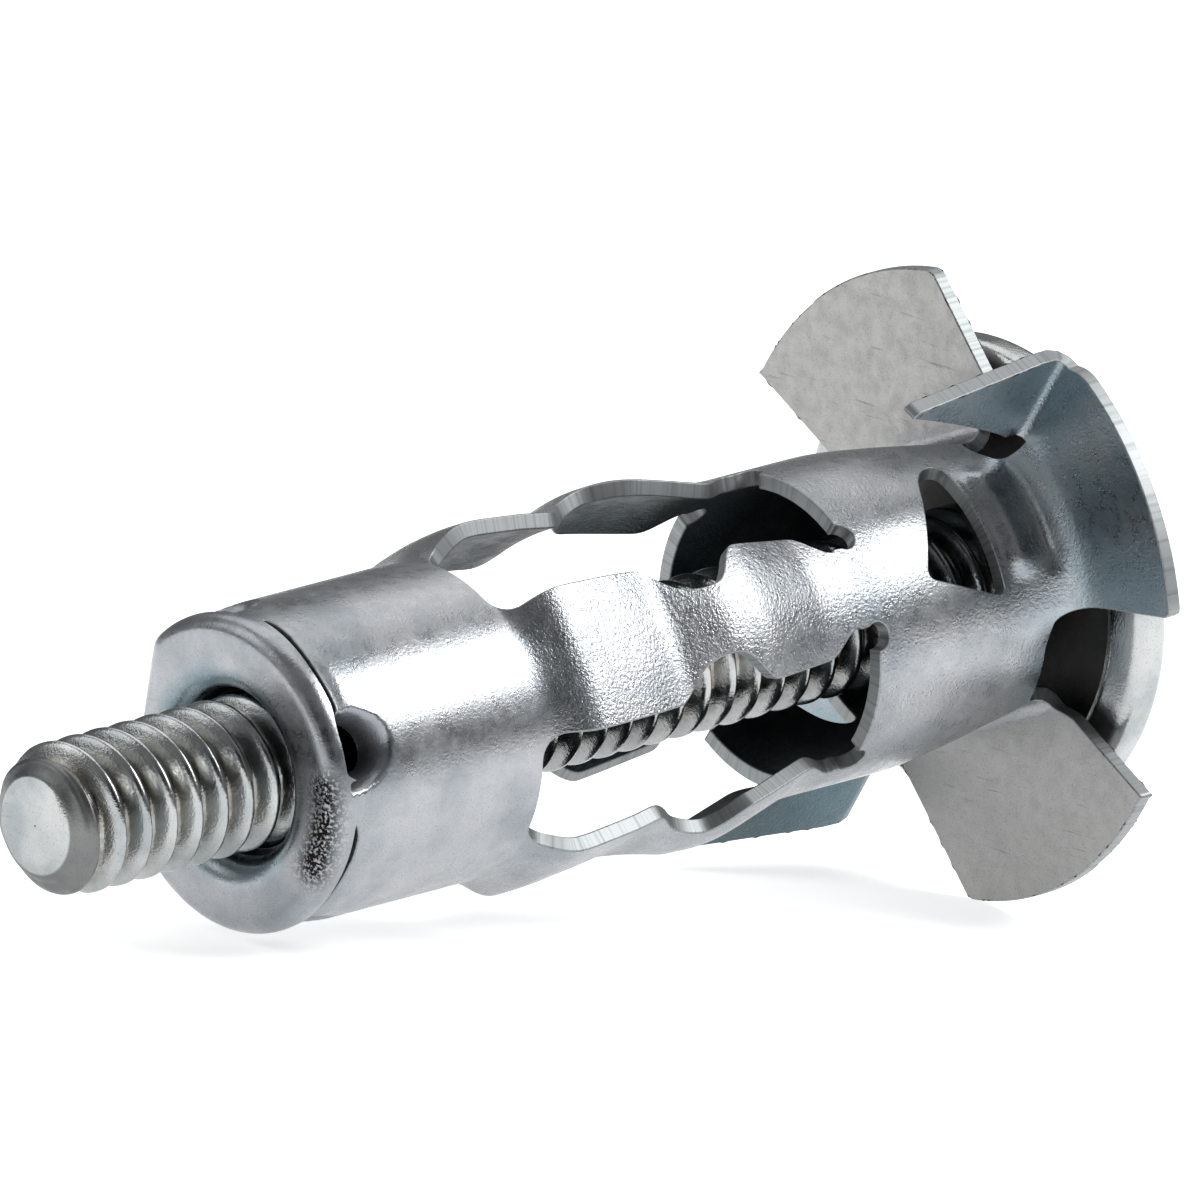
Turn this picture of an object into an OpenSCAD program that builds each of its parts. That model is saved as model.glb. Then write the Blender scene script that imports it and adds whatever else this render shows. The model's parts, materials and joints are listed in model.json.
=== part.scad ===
// Hollow wall anchor: a sleeve folded from one sheet, a nut held in its nose, and a truss-head screw.
// Each piece is drawn round the Z axis, from the screw's tip up to its head. The finished anchor is then
// laid down on the three points that it rests on: its nose rim, one claw and one corner of its flange.

/* [Sleeve] */
// Outside radius of the sleeve, half the hole it is made for
sleeve_r = 5; // [4.8:0.1:5.2]
// Thickness of the sheet
sheet = 0.5; // [0.4:0.05:0.6]
// Length of the closed tube round the nut
nose_len = 8.7; // [8.2:0.1:9.2]
// Outside radius of the nose's rim, where the sheet is rolled in over the nut
rim_r = 0.6; // [0.5:0.05:0.8]
// Radius of the opening in the rolled-in nose
mouth_r = 3.3; // [3:0.1:3.6]

/* [Legs] */
// Length of the four legs
leg_len = 14; // [12.5:0.5:16]
// Rise of the hump nearest the nut above the tube
nose_hump = 0.68; // [0.4:0.04:0.9]
// Rise of the dip where the legs are narrow
dip = 0.24; // [0.1:0.02:0.36]
// Rise of the hump nearest the collar
collar_hump = 0.76; // [0.4:0.04:1]
// Half width of a leg
leg_half = 2.14; // [1.9:0.04:2.3]
// Half width of a leg's neck, where it folds
neck_half = 1.2; // [0.9:0.05:1.4]
// Half width of a leg where it meets the collar
root_half = 1.35; // [1.1:0.05:1.4]
// Turn of the first leg round the axis, in degrees
leg_turn = 8; // [4:1:12]

/* [Flange] */
// Length of the collar, from the legs to the flange's front face
collar_len = 8.15; // [7.8:0.05:8.6]
// Radius of the flange
flange_r = 9.9; // [9.5:0.1:10.4]
// Distance from the axis to the fold of a flat wing
fold_dist = 4.1; // [3.9:0.05:4.4]
// Outside radius of the rolled root of a clawed wing
roll_r = 2.6; // [2.2:0.1:2.9]
// Length of a claw below the flange's front face
claw_len = 7.4; // [6:0.2:8]
// Width of a claw at its root, across the flange
claw_root = 2.8; // [2.2:0.1:3]
// Outside radius of the bend that turns a claw down
claw_bend = 0.8; // [0.7:0.05:1]

/* [Nut] */
// Length of the nut
nut_len = 3.5; // [3.3:0.1:4]
// Width of the chamfer at the mouth of the nut's thread
nut_chamfer = 0.5; // [0.3:0.1:0.8]

/* [Screw] */
// Radius of the screw over its thread
screw_r = 2.41; // [2.3:0.01:2.5]
// Length of screw that stands out of the nut
tip_len = 7.4; // [6:0.2:9]
// Radius of the flat on the screw's tip
tip_flat = 1.55; // [1.3:0.05:1.8]
// Distance from one turn of the thread to the next
thread_pitch = 1.058; // [0.8:0.001:1.3]
// Depth of the thread
thread_depth = 0.61; // [0.4:0.01:0.7]
// Radius of the screw's head
head_r = 7.8; // [7.2:0.1:8.4]
// Height of the head's dome above its rim
dome_h = 2.4; // [2:0.1:2.8]
// Gap between the flange and the head
head_gap = 0.35; // [0.3:0.05:0.8]

/* [Hidden] */
$fn = 64;
eps = 0.01;

// Heights along the axis
leg_end = nose_len + leg_len;
flange_top = leg_end + collar_len;
flange_low = flange_top - sheet;
roll_low = flange_top - roll_r;
free_edge = flange_top - 1.05;
bore_r = sleeve_r - sheet;

// Stations along a leg as [share of its length, value], eased from one to the next
leg_rise = [[0, 0], [0.12, nose_hump], [0.22, nose_hump], [0.42, dip], [0.57, collar_hump],
    [0.63, collar_hump], [0.82, 0], [1, 0]];
leg_width = [[0, leg_half], [0.37, leg_half], [0.45, neck_half], [0.595, neck_half],
    [0.665, leg_half - 0.14], [0.8, leg_half - 0.14], [0.89, root_half], [1, root_half]];
station_steps = 4;
corner_r = 0.8;
relief_r = 0.42;

// Lances in the nose that hold the nut: a slit round the tube, opened into a scoop at one end
lance_z = sheet + 0.6;
lance_gap = 0.2;
lance_from = -12;
lance_to = 58;
scoop_to = 2.6;
lance_scoop = -4;
lance_turns = [0, 90, 180, 270];

// Wings, as angles round the axis that grow counter-clockwise as seen from the tip
claw_wing_from = -16;
claw_wing_to = 33.5;

// A point of the flat wing's outline is [away from the axis, across the fold]
wing_near_low = [fold_dist, 4.45];
wing_near_high = [0.927 * flange_r, 2.9];
wing_far_low = [fold_dist, -2.87];
wing_far_mid = [fold_dist + 0.8, -3.95];
wing_far_high = [0.79 * flange_r, -6.1];

// Nut and screw
thread_clear = 0.05;
thread_crest = thread_pitch / 8;
tip_chamfer = 0.8;
thread_from = tip_chamfer - tip_len;
thread_to_head = 0.9;
nut_groove_r = bore_r - 0.5;
nut_groove = [sheet + 0.35, 3];
nut_top = sheet + nut_len;
head_low = flange_top + head_gap;
head_step_r = 0.79 * head_r;
head_rim_h = 1.1;
recess_depth = 2.0;
recess_half = 2.1;
recess_wide = 1.0;

// Slots and flats of the collar
slot_mid = 20;
side_gap = 2;
drawn = 0.02;
slot_low = flange_top - 5.55;
slot_high = flange_top - 3.85;
fold_r = 0.9;
fold_press = sleeve_r - fold_dist;
fold_high = flange_top - fold_r;
fold_end = fold_dist - sheet + fold_r - eps;
fold_half = sqrt(sleeve_r * sleeve_r - fold_dist * fold_dist) - 0.2;
flat_from = flange_top - 5;
flat_to = fold_high + 0.15;

// Points of an arc, and the strip of sheet that follows a quarter turn of it
arc_steps = 6;
function arc(c, r, from, to) = [for (k = [0 : arc_steps])
    let (a = from + (to - from) * k / arc_steps) [c[0] + r * cos(a), c[1] + r * sin(a)]];
function quarter_strip(c, r, from, to) = concat(arc(c, r, from, to), arc(c, r - sheet, to, from));

// Eased value at share u along a list of stations
function ease(t) = (1 - cos(180 * t)) / 2;
function station(list, i, t) = list[i][1] + (list[i + 1][1] - list[i][1]) * ease(t);
function station_line(list) = [for (i = [0 : len(list) - 2], k = [0 : station_steps - 1])
    let (t = k / station_steps)
    [nose_len + leg_len * (list[i][0] + (list[i + 1][0] - list[i][0]) * t), station(list, i, t)]];
function flip(list) = [for (i = [len(list) - 1 : -1 : 0]) list[i]];

// Point at a radius, an angle round the axis and a height
function at(r, angle, z) = [r * cos(angle), -r * sin(angle), z];
function unit(v) = v / norm(v);

// Three contact points, and the downward direction that they settle to
claw_rho = flange_r - 0.1;
claw_tip = at(norm([claw_rho, claw_bend]), claw_wing_to + atan(claw_bend / claw_rho) + 180,
    flange_top - claw_len);
wing_corner = at(norm(wing_near_high), 270 - atan(wing_near_high[1] / wing_near_high[0]), flange_low);
function rim_contact(down) = let (out = unit([down[0], down[1], 0]))
    out * (sleeve_r - rim_r) + [0, 0, rim_r] + rim_r * down;
function plane_down(a, b, c, near) = let (n = unit(cross(b - a, c - a))) n * near > 0 ? n : -n;
function settle(down, n) = n == 0 ? down
    : settle(plane_down(rim_contact(down), claw_tip, wing_corner, down), n - 1);
rest_down = settle(unit(at(1, 243, -0.16)), 8);
rest_turn = -atan2(rest_down[1], rest_down[0]);
rest_tilt = asin(-rest_down[2]);
rest_lift = rim_contact(rest_down) * rest_down;

// Outlines that are turned round the axis, as [radius, height]
dome_steps = 10;
head_outline = concat(
    [[screw_r, head_low + 0.35], [head_step_r, head_low + 0.35], [head_step_r + 0.15, head_low],
        [head_r - 0.45, head_low]],
    [for (a = [-90 : 22.5 : 0]) [head_r - 0.45 + 0.45 * cos(a), head_low + 0.45 + 0.45 * sin(a)]],
    [for (k = [1 : dome_steps]) let (a = 90 * k / dome_steps)
        [head_r * cos(a), head_low + head_rim_h - 0.4 + dome_h * sin(a)]]);
thread_turns = floor((head_low - thread_to_head - thread_from) / thread_pitch);
thread_outline = [for (k = [0 : thread_turns - 1], p = [0 : 2])
    let (z = thread_from + k * thread_pitch)
    [[screw_r, z], [screw_r, z + thread_crest],
        [screw_r - thread_depth, z + (thread_pitch + thread_crest) / 2]][p]];
thread_end = [screw_r, thread_from + thread_turns * thread_pitch];
screw_outline = concat([[0, -tip_len], [tip_flat, -tip_len]], thread_outline, [thread_end], head_outline);
function along_x(p) = p[1] * cos(rest_tilt) + p[0] * sin(rest_tilt);
x_high = max([for (p = head_outline) along_x(p)]);
x_low = along_x([-tip_flat, -tip_len]);

// Lays what is drawn round the Z axis down on its three contact points, centred over the origin
module laid() {
    translate([-(x_high + x_low) / 2, 0, rest_lift])
        rotate([0, 90 - rest_tilt, 0])
            rotate([0, 0, rest_turn])
                children();
}

// Turns its children to an angle round the axis
module turned(angle) {
    rotate([0, 0, -angle])
        children();
}

// Solid sector of a disc between two angles
module sector(from, to, r, low, high) {
    turned(to)
        translate([0, 0, low])
            rotate_extrude(angle = to - from)
                square([r, high - low]);
}

// Pushes an outline given as [height, sideways] outwards, from one distance from the axis to another
module outwards(from, to) {
    rotate([180, -90, 0])
        translate([0, 0, from])
            linear_extrude(to - from)
                children();
}

// Pushes an outline given as [outwards, height] sideways, towards growing angles
module sideways(from, to) {
    translate([0, -from, 0])
        rotate([90, 0, 0])
            linear_extrude(to - from)
                children();
}

// Slit and scoop of one lance
module lance_cut() {
    sector(lance_from, lance_to, sleeve_r + 1, lance_z, lance_z + lance_gap);
    turned(lance_scoop)
        outwards(bore_r - 1, sleeve_r + 1)
            translate([(lance_z + scoop_to) / 2, 0])
                scoop_outline();
}

// Drop-shaped outline of the scoop
module scoop_outline() {
    half = (scoop_to - lance_z) / 2;
    hull() {
        translate([0, -0.3])
            circle(half);
        translate([0.15 - half + 0.1, 1])
            circle(0.1);
    }
}

// Solid inside of one surface of the wall, pressed flat towards both flat wings' folds
module wall_body(outline, fold) {
    difference() {
        rotate_extrude()
            polygon(outline);
        for (a = [90, -90])
            turned(a)
                sideways(-2 * sleeve_r, 2 * sleeve_r)
                    polygon([[fold + fold_press, flat_from], [fold, flat_to], [fold, flange_top + 2],
                        [2 * sleeve_r, flange_top + 2], [2 * sleeve_r, flat_from]]);
    }
}

// Heights of the wall that are kept: the nose, the collar and the four legs between them
module wall_kept() {
    for (span = [[-2, nose_len], [leg_end, flange_top + 3]])
        translate([0, 0, span[0]])
            cylinder(h = span[1] - span[0], r = 2 * sleeve_r);
    for (k = [0 : 3])
        turned(leg_turn + 90 * k)
            outwards(0.5, 1.5 * sleeve_r)
                polygon(concat(leg_side(1), flip(leg_side(-1))));
}

// Wall of the whole sleeve: the closed nose, the waved legs and the collar
module wall() {
    wave = station_line(leg_rise);
    intersection() {
        difference() {
            wall_body(concat([[0, 0]], arc([sleeve_r - rim_r, rim_r], rim_r, -90, 0),
                [for (p = wave) [sleeve_r + p[1], p[0]]], [[sleeve_r, flange_top + 1], [0, flange_top + 1]]),
                fold_dist);
            wall_body(concat([[0, -1], [mouth_r, -1], [mouth_r, sheet], [bore_r, sheet]],
                [for (p = wave) [bore_r + p[1], p[0]]],
                [[bore_r, flange_top + 1.5], [0, flange_top + 1.5]]), fold_dist - sheet);
        }
        wall_kept();
    }
}

// One side of a leg's outline, with a round corner where it leaves the nose
function leg_side(way) = concat(
    [[nose_len - 0.8, way * (leg_half + corner_r)]],
    [for (p = arc([nose_len + corner_r, leg_half + corner_r], corner_r, 180, 270)) [p[0], way * p[1]]],
    [for (p = station_line(leg_width)) if (p[0] > nose_len + corner_r) [p[0], way * p[1]]],
    [[leg_end + 0.8, way * root_half]]);

// Outline of a slot in the collar under a clawed wing, as [height, sideways]
module slot_outline() {
    polygon([[slot_low, -1.35], [slot_low + 0.2, -1.0], [slot_high, 1.75], [roll_low - 0.25, 2.15],
        [roll_low - 0.1, 1.9], [roll_low - 0.1, -2.25], [roll_low - 0.5, -2.15]]);
}

// What is cut out of the wall: lances, free edges, slots and the relief holes beside the legs
module wall_cuts() {
    for (a = lance_turns)
        turned(a)
            lance_cut();
    for (h = [0, 180]) {
        sector(claw_wing_from - side_gap + h, claw_wing_to + side_gap + h, 2 * sleeve_r, roll_low, flange_top + 2);
        sector(h - 60, h + 60, 2 * sleeve_r, free_edge, flange_top + 2);
        sector(h + 58, h + 122, 2 * sleeve_r, fold_high, flange_top + 2);
        turned(slot_mid + h)
            outwards(1, sleeve_r + 1)
                slot_outline();
    }
    for (k = [0 : 3], way = [-1, 1])
        turned(leg_turn + 90 * k)
            outwards(1, sleeve_r + 1)
                translate([leg_end + 0.1, way * (root_half + 0.8 * relief_r)])
                    circle(relief_r);
}

// Flat wing with the fold that joins it to the collar
module flat_wing() {
    sideways(-fold_half, fold_half)
        polygon(concat([[fold_dist, fold_high - sheet / 2], [fold_dist - sheet, fold_high - sheet / 2]],
            quarter_strip([fold_dist - sheet + fold_r, fold_high], fold_r, 180, 90)));
    translate([0, 0, flange_low])
        linear_extrude(sheet)
            intersection() {
                circle(flange_r);
                polygon([[fold_end, -fold_half], [fold_end, fold_half], wing_near_low, wing_near_high,
                    1.4 * wing_near_high, 1.4 * wing_far_high, wing_far_high, wing_far_mid, wing_far_low]);
            }
}

// Clawed wing: the rolled root, the flat and the claw
module clawed_wing() {
    turned(claw_wing_to)
        rotate_extrude(angle = claw_wing_to - claw_wing_from)
            polygon(concat(
                [[bore_r + drawn, roll_low - 0.08]],
                arc([bore_r + roll_r, roll_low], roll_r - drawn, 180, 90),
                [[flange_r, flange_top - drawn], [flange_r, flange_low]],
                arc([bore_r + roll_r, roll_low], roll_r - sheet + drawn, 90, 180),
                [[sleeve_r - drawn, roll_low - 0.08]]));
    turned(claw_wing_to)
        claw();
}

// Claw turned down from the wing's edge, which lies along angle 0
module claw() {
    bend_low = flange_top - claw_bend;
    tip = flange_top - claw_len;
    root = flange_r - claw_root;
    outwards(root, claw_rho)
        polygon(quarter_strip([bend_low, 0], claw_bend, 0, 90));
    sideways(claw_bend - sheet, claw_bend)
        polygon([[claw_rho, bend_low + eps], [claw_rho, tip + 0.15], [claw_rho - 0.15, tip],
            [root, bend_low - 0.5], [root, bend_low + eps]]);
}

// Sleeve: nose, four legs, collar and four-winged flange, folded from one sheet
module sleeve() {
    color("silver")
        laid() {
            difference() {
                wall();
                wall_cuts();
            }
            for (h = [0, 180])
                turned(h) {
                    clawed_wing();
                    turned(90)
                        flat_wing();
                }
        }
}

// Nut, with the groove that the lances enter and a chamfered mouth
module nut() {
    hole_r = screw_r + thread_clear;
    color("lightsteelblue")
        laid()
            rotate_extrude()
                polygon([[hole_r + nut_chamfer, sheet], [bore_r, sheet], [bore_r, nut_groove[0]],
                    [nut_groove_r, nut_groove[0]], [nut_groove_r, nut_groove[1]], [bore_r, nut_groove[1]],
                    [bore_r, nut_top], [hole_r, nut_top], [hole_r, sheet + nut_chamfer]]);
}

// Cross recess in the top of the head
module recess() {
    top = head_low + head_rim_h - 0.4 + dome_h;
    for (a = [0, 90])
        turned(a)
            sideways(-recess_wide / 2, recess_wide / 2)
                polygon([[-recess_half, top + 1], [recess_half, top + 1], [recess_half, top - 0.3],
                    [0.5, top - recess_depth], [-0.5, top - recess_depth], [-recess_half, top - 0.3]]);
}

// Screw with a truss head; each turn of its thread is drawn as a ring
module screw() {
    color("gainsboro")
        laid()
            difference() {
                rotate_extrude()
                    polygon(screw_outline);
                recess();
            }
}

sleeve();
nut();
screw();
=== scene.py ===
"""Hollow wall anchor: a folded zinc-plated sleeve, the nut in its nose, and a truss-head screw.

Every piece is worked out round its own axis, in millimetres: a radius, an angle round the axis and a height
from the nose towards the head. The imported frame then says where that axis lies.
"""

import json
import logging
import math
from dataclasses import dataclass, field
from enum import Enum
from typing import Callable

import bpy
import numpy as np
from mathutils import Matrix, Vector
from mathutils.geometry import delaunay_2d_cdt

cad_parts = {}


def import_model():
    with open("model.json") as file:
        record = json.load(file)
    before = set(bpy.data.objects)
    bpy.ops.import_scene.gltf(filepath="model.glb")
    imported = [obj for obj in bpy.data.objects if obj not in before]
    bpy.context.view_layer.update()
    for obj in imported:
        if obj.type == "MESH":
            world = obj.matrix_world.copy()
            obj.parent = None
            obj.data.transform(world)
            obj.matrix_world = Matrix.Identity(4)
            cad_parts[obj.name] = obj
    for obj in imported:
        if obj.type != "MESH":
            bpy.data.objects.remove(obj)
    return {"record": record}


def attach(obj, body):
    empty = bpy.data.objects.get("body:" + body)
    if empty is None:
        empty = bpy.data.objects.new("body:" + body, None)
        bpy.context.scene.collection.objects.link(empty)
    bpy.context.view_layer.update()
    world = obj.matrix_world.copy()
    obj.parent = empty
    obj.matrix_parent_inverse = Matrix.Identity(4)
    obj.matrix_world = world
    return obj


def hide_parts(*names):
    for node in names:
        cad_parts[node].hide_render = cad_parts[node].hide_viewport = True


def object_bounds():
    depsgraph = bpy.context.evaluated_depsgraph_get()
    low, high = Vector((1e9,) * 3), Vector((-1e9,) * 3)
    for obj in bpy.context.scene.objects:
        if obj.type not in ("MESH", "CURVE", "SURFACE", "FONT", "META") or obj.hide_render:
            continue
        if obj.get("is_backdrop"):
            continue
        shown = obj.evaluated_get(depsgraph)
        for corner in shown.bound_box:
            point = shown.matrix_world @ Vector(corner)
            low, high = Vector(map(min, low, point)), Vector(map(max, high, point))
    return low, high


LOG = logging.getLogger("wall_anchor")
MM = 0.001


# ---------------------------------------------------------------- small helpers


def smooth_step(x: np.ndarray) -> np.ndarray:
    """Smooth ramp 3x^2 - 2x^3 from 0 to 1, flat outside.

    Args:
        x: Values to ramp.

    Returns:
        The ramped values.
    """
    x = np.clip(x, 0.0, 1.0)
    return x * x * (3.0 - 2.0 * x)


def wrapped(angle: np.ndarray) -> np.ndarray:
    """Angle in degrees, brought to the range -180 to 180."""
    return (np.asarray(angle, float) + 180.0) % 360.0 - 180.0


def arc_points(centre: tuple[float, float], radius: float, start: float, end: float, steps: int) -> np.ndarray:
    """Points c + r (cos a, sin a) with a going evenly from start to end.

    Args:
        centre: Centre of the arc.
        radius: Its radius.
        start: First angle in degrees.
        end: Last angle in degrees.
        steps: Number of chords.

    Returns:
        An array of steps + 1 points.
    """
    a = np.radians(np.linspace(start, end, steps + 1))
    return np.stack([centre[0] + radius * np.cos(a), centre[1] + radius * np.sin(a)], 1)


def densified(points: np.ndarray, spacing: float, closed: bool = False) -> np.ndarray:
    """Splits each chord of a polyline into equal parts no longer than a spacing.

    Args:
        points: The polyline's corners.
        spacing: Longest part, in the points' own units.
        closed: Whether the last corner joins the first.

    Returns:
        The finer polyline, without a repeated last point when closed.
    """
    ends = np.roll(points, -1, 0) if closed else points[1:]
    starts = points if closed else points[:-1]
    out = []
    for a, b in zip(starts, ends):
        n = max(1, int(math.ceil(np.linalg.norm(b - a) / spacing)))
        out.append(a + (b - a) * (np.arange(n) / n)[:, None])
    if not closed:
        out.append(points[-1:])
    return np.concatenate(out)


def resampled(points: np.ndarray, spacing: float) -> np.ndarray:
    """Closed polyline with its points at even lengths along it, about a spacing apart."""
    loop = np.concatenate([points, points[:1]])
    length = np.concatenate([[0], np.cumsum(np.hypot(*np.diff(loop, axis=0).T))])
    at = np.arange(0, length[-1], length[-1] / round(length[-1] / spacing))
    return np.stack([np.interp(at, length, loop[:, 0]), np.interp(at, length, loop[:, 1])], 1)


def rounded(points: list[tuple[float, float, float]], steps: int = 5) -> np.ndarray:
    """Closed outline whose corners are rounded by a quadratic curve.

    Args:
        points: Corners as (x, y, cut), where cut is the length taken off each side of the corner.
        steps: Chords per rounded corner.

    Returns:
        The outline's points.
    """
    p = np.array([q[:2] for q in points], float)
    out = []
    for i, (x, y, cut) in enumerate(points):
        corner, before, after = p[i], p[i - 1], p[(i + 1) % len(p)]
        if cut <= 0:
            out.append(corner[None])
            continue
        a = corner + (before - corner) * min(cut / np.linalg.norm(before - corner), 0.5)
        b = corner + (after - corner) * min(cut / np.linalg.norm(after - corner), 0.5)
        u = np.linspace(0, 1, steps + 1)[:, None]
        out.append((1 - u) ** 2 * a + 2 * u * (1 - u) * corner + u**2 * b)
    return np.concatenate(out)


def inside(points: np.ndarray, loops: list[np.ndarray]) -> np.ndarray:
    """Even-odd test of points against closed loops, by counting edges crossed by a ray along +x.

    Args:
        points: Points to test.
        loops: Closed outlines, holes among them.

    Returns:
        True for each point that lies inside.
    """
    odd = np.zeros(len(points), bool)
    for loop in loops:
        a, b = loop, np.roll(loop, -1, 0)
        for chunk in np.array_split(np.arange(len(points)), max(1, len(points) // 4000)):
            x, y = points[chunk, 0][:, None], points[chunk, 1][:, None]
            spans = (a[:, 1] > y) != (b[:, 1] > y)
            rise = np.where(b[:, 1] == a[:, 1], 1.0, b[:, 1] - a[:, 1])
            crossing = (b[:, 0] - a[:, 0]) * (y - a[:, 1]) / rise + a[:, 0]
            odd[chunk] ^= (np.sum(spans & (x < crossing), axis=1) % 2).astype(bool)
    return odd


def clear_of(points: np.ndarray, edge: np.ndarray, gap: float) -> np.ndarray:
    """True for each point that lies farther than a gap from every point of an edge."""
    keep = np.ones(len(points), bool)
    for chunk in np.array_split(np.arange(len(points)), max(1, len(points) // 1500)):
        d = points[chunk][:, None, :] - edge[None]
        keep[chunk] = np.min(np.einsum("ijk,ijk->ij", d, d), axis=1) > gap * gap
    return keep


# ---------------------------------------------------------------- the anchor's axis


@dataclass(frozen=True)
class Axis:
    """Where the anchor's axis lies in the frame.

    Attributes:
        origin: Point on the axis at the nose's front face, in metres.
        side: Unit vector at angle 0 round the axis.
        up: Unit vector at angle 90.
        along: Unit vector from the nose towards the head.
    """

    origin: np.ndarray
    side: np.ndarray
    up: np.ndarray
    along: np.ndarray

    @classmethod
    def from_record(cls, record: dict, seat_angle: float = 100.0) -> "Axis":
        """Reads the axis from the screw's joint and its turn from the flange's seat.

        Args:
            record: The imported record.
            seat_angle: Angle round the axis at which the flange's seat is stated.

        Returns:
            The axis.
        """
        joint = record["behaviour"]["joints"][0]
        seat = next(m for m in record["mounts"] if m["name"] == "flange_seat")
        along = np.array(joint["axis"], float)
        along /= np.linalg.norm(along)
        origin = np.array(joint["pos_m"], float)
        out = np.array(seat["pos_m"], float) - origin
        out -= along * (out @ along)
        out /= np.linalg.norm(out)
        next_to = np.cross(out, along)
        a = math.radians(-seat_angle)
        side = math.cos(a) * out + math.sin(a) * next_to
        up = np.cross(side, along)
        return cls(origin, side, up, along)

    def place(self, radius: np.ndarray, angle: np.ndarray, height: np.ndarray) -> np.ndarray:
        """Points at radii, angles and heights, as origin + r (cos a side + sin a up) + h along.

        Args:
            radius: Distances from the axis in millimetres.
            angle: Angles round it in degrees.
            height: Heights along it in millimetres.

        Returns:
            Points in metres, one row each.
        """
        radius, angle, height = np.broadcast_arrays(radius, angle, height)
        a = np.radians(angle)[..., None]
        out = np.cos(a) * self.side + np.sin(a) * self.up
        return self.origin + MM * (radius[..., None] * out + height[..., None] * self.along)

    def turned(self, out: np.ndarray, across: np.ndarray, height: np.ndarray, angle: float) -> np.ndarray:
        """Points given outwards and across a direction that lies at an angle round the axis.

        Args:
            out: Distances along that direction in millimetres.
            across: Distances across it, towards growing angles.
            height: Heights along the axis.
            angle: The direction's angle in degrees.

        Returns:
            Points in metres.
        """
        return self.place(np.hypot(out, across), angle + np.degrees(np.arctan2(across, out)), height)


@dataclass(frozen=True)
class Path:
    """Outline of a turned surface: a radius and a height for each length along it."""

    length: np.ndarray
    radius: np.ndarray
    height: np.ndarray

    @classmethod
    def through(cls, points: np.ndarray, start: float) -> "Path":
        """Measures a polyline of (radius, height) from a starting length."""
        steps = np.hypot(*np.diff(points, axis=0).T)
        return cls(start + np.concatenate([[0], np.cumsum(steps)]), points[:, 0], points[:, 1])

    def at(self, t: np.ndarray) -> tuple[np.ndarray, np.ndarray]:
        """Radius and height at lengths along the path."""
        return np.interp(t, self.length, self.radius), np.interp(t, self.length, self.height)


# ---------------------------------------------------------------- sheet patches


class Face(Enum):
    """Faces of the sheet, numbered as its material slots."""

    OUTER = 0
    INNER = 1
    EDGE = 2


class Wear(Enum):
    """Kinds of wear, tints and painted shade that a piece stores for its finish, in the order of its columns."""

    MATT = "matt"
    STRAINED = "strained"
    SCORED = "scored"
    BLUE_TINT_AND_SHADE = "blued"
    PAINTED_SHADE = "dull"


@dataclass
class SheetPatch:
    """A piece of sheet, drawn flat and carried onto its bent surface.

    Attributes:
        loops: Flat outlines in millimetres, the outer one first and the holes after it.
        bent: Takes flat points to points in metres.
        spacing: Distance between the inner points.
        facing: Takes points to a direction that the outer face's normal must agree with.
        wear: Takes flat points to shares from 0 to 1 of each kind of wear, tint and painted shade, in the order of
            Wear.
    """

    loops: list[np.ndarray]
    bent: Callable[[np.ndarray], np.ndarray]
    spacing: float
    facing: Callable[[np.ndarray], np.ndarray]
    wear: Callable[[np.ndarray], np.ndarray]

    def flat_points(self) -> np.ndarray:
        """Rows of inner points, every other row shifted by half a spacing, kept clear of the edges."""
        low, high = self.loops[0].min(0), self.loops[0].max(0)
        across = np.arange(low[0], high[0], self.spacing)
        rows = np.arange(low[1], high[1], self.spacing * 0.866)
        x, y = np.meshgrid(across, rows)
        x = x + (np.arange(len(rows)) % 2)[:, None] * self.spacing / 2
        points = np.stack([x.ravel(), y.ravel()], 1)
        points = points[inside(points, self.loops)]
        return points[clear_of(points, np.concatenate(self.loops), 0.55 * self.spacing)]

    def triangles(self) -> tuple[np.ndarray, np.ndarray]:
        """Triangulates the flat outline.

        Returns:
            Flat points, and triangles that run counter-clockwise.
        """
        edges, start = [], 0
        for loop in self.loops:
            i = np.arange(len(loop))
            edges.append(np.stack([start + i, start + (i + 1) % len(loop)], 1))
            start += len(loop)
        flat = np.concatenate(self.loops + [self.flat_points()])
        made = delaunay_2d_cdt([Vector(p) for p in flat.tolist()], np.concatenate(edges).tolist(), [], 0, 1e-7)
        points, tris = np.array([tuple(v) for v in made[0]]), np.array(made[2])
        tris = tris[inside(points[tris].mean(1), self.loops)]
        p, q, r = (points[tris[:, i]] for i in range(3))
        area = (q[:, 0] - p[:, 0]) * (r[:, 1] - p[:, 1]) - (q[:, 1] - p[:, 1]) * (r[:, 0] - p[:, 0])
        tris[area < 0] = tris[area < 0][:, ::-1]
        return points, tris[np.abs(area) > 1e-9]

    def mesh(self) -> tuple[np.ndarray, np.ndarray, np.ndarray, np.ndarray]:
        """Bends the triangulated outline.

        The normal is the cross product of the bent surface's two derivatives, taken by central differences.

        Returns:
            Points, normals, triangles and flat points.
        """
        flat, tris = self.triangles()
        step = 0.01
        du = self.bent(flat + [step, 0]) - self.bent(flat - [step, 0])
        dv = self.bent(flat + [0, step]) - self.bent(flat - [0, step])
        normals = np.cross(du, dv)
        normals /= np.linalg.norm(normals, axis=1)[:, None] + 1e-15
        points = self.bent(flat)
        if np.median(np.sum(normals * self.facing(points), axis=1)) < 0:
            normals, tris = -normals, tris[:, ::-1]
        return points, normals, tris, flat


@dataclass
class Shell:
    """Arrays of a mesh: points with normals and wear, triangles with flat coordinates and a slot number."""

    points: np.ndarray
    normals: np.ndarray
    wear: np.ndarray
    faces: np.ndarray
    uv: np.ndarray
    marks: np.ndarray


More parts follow.
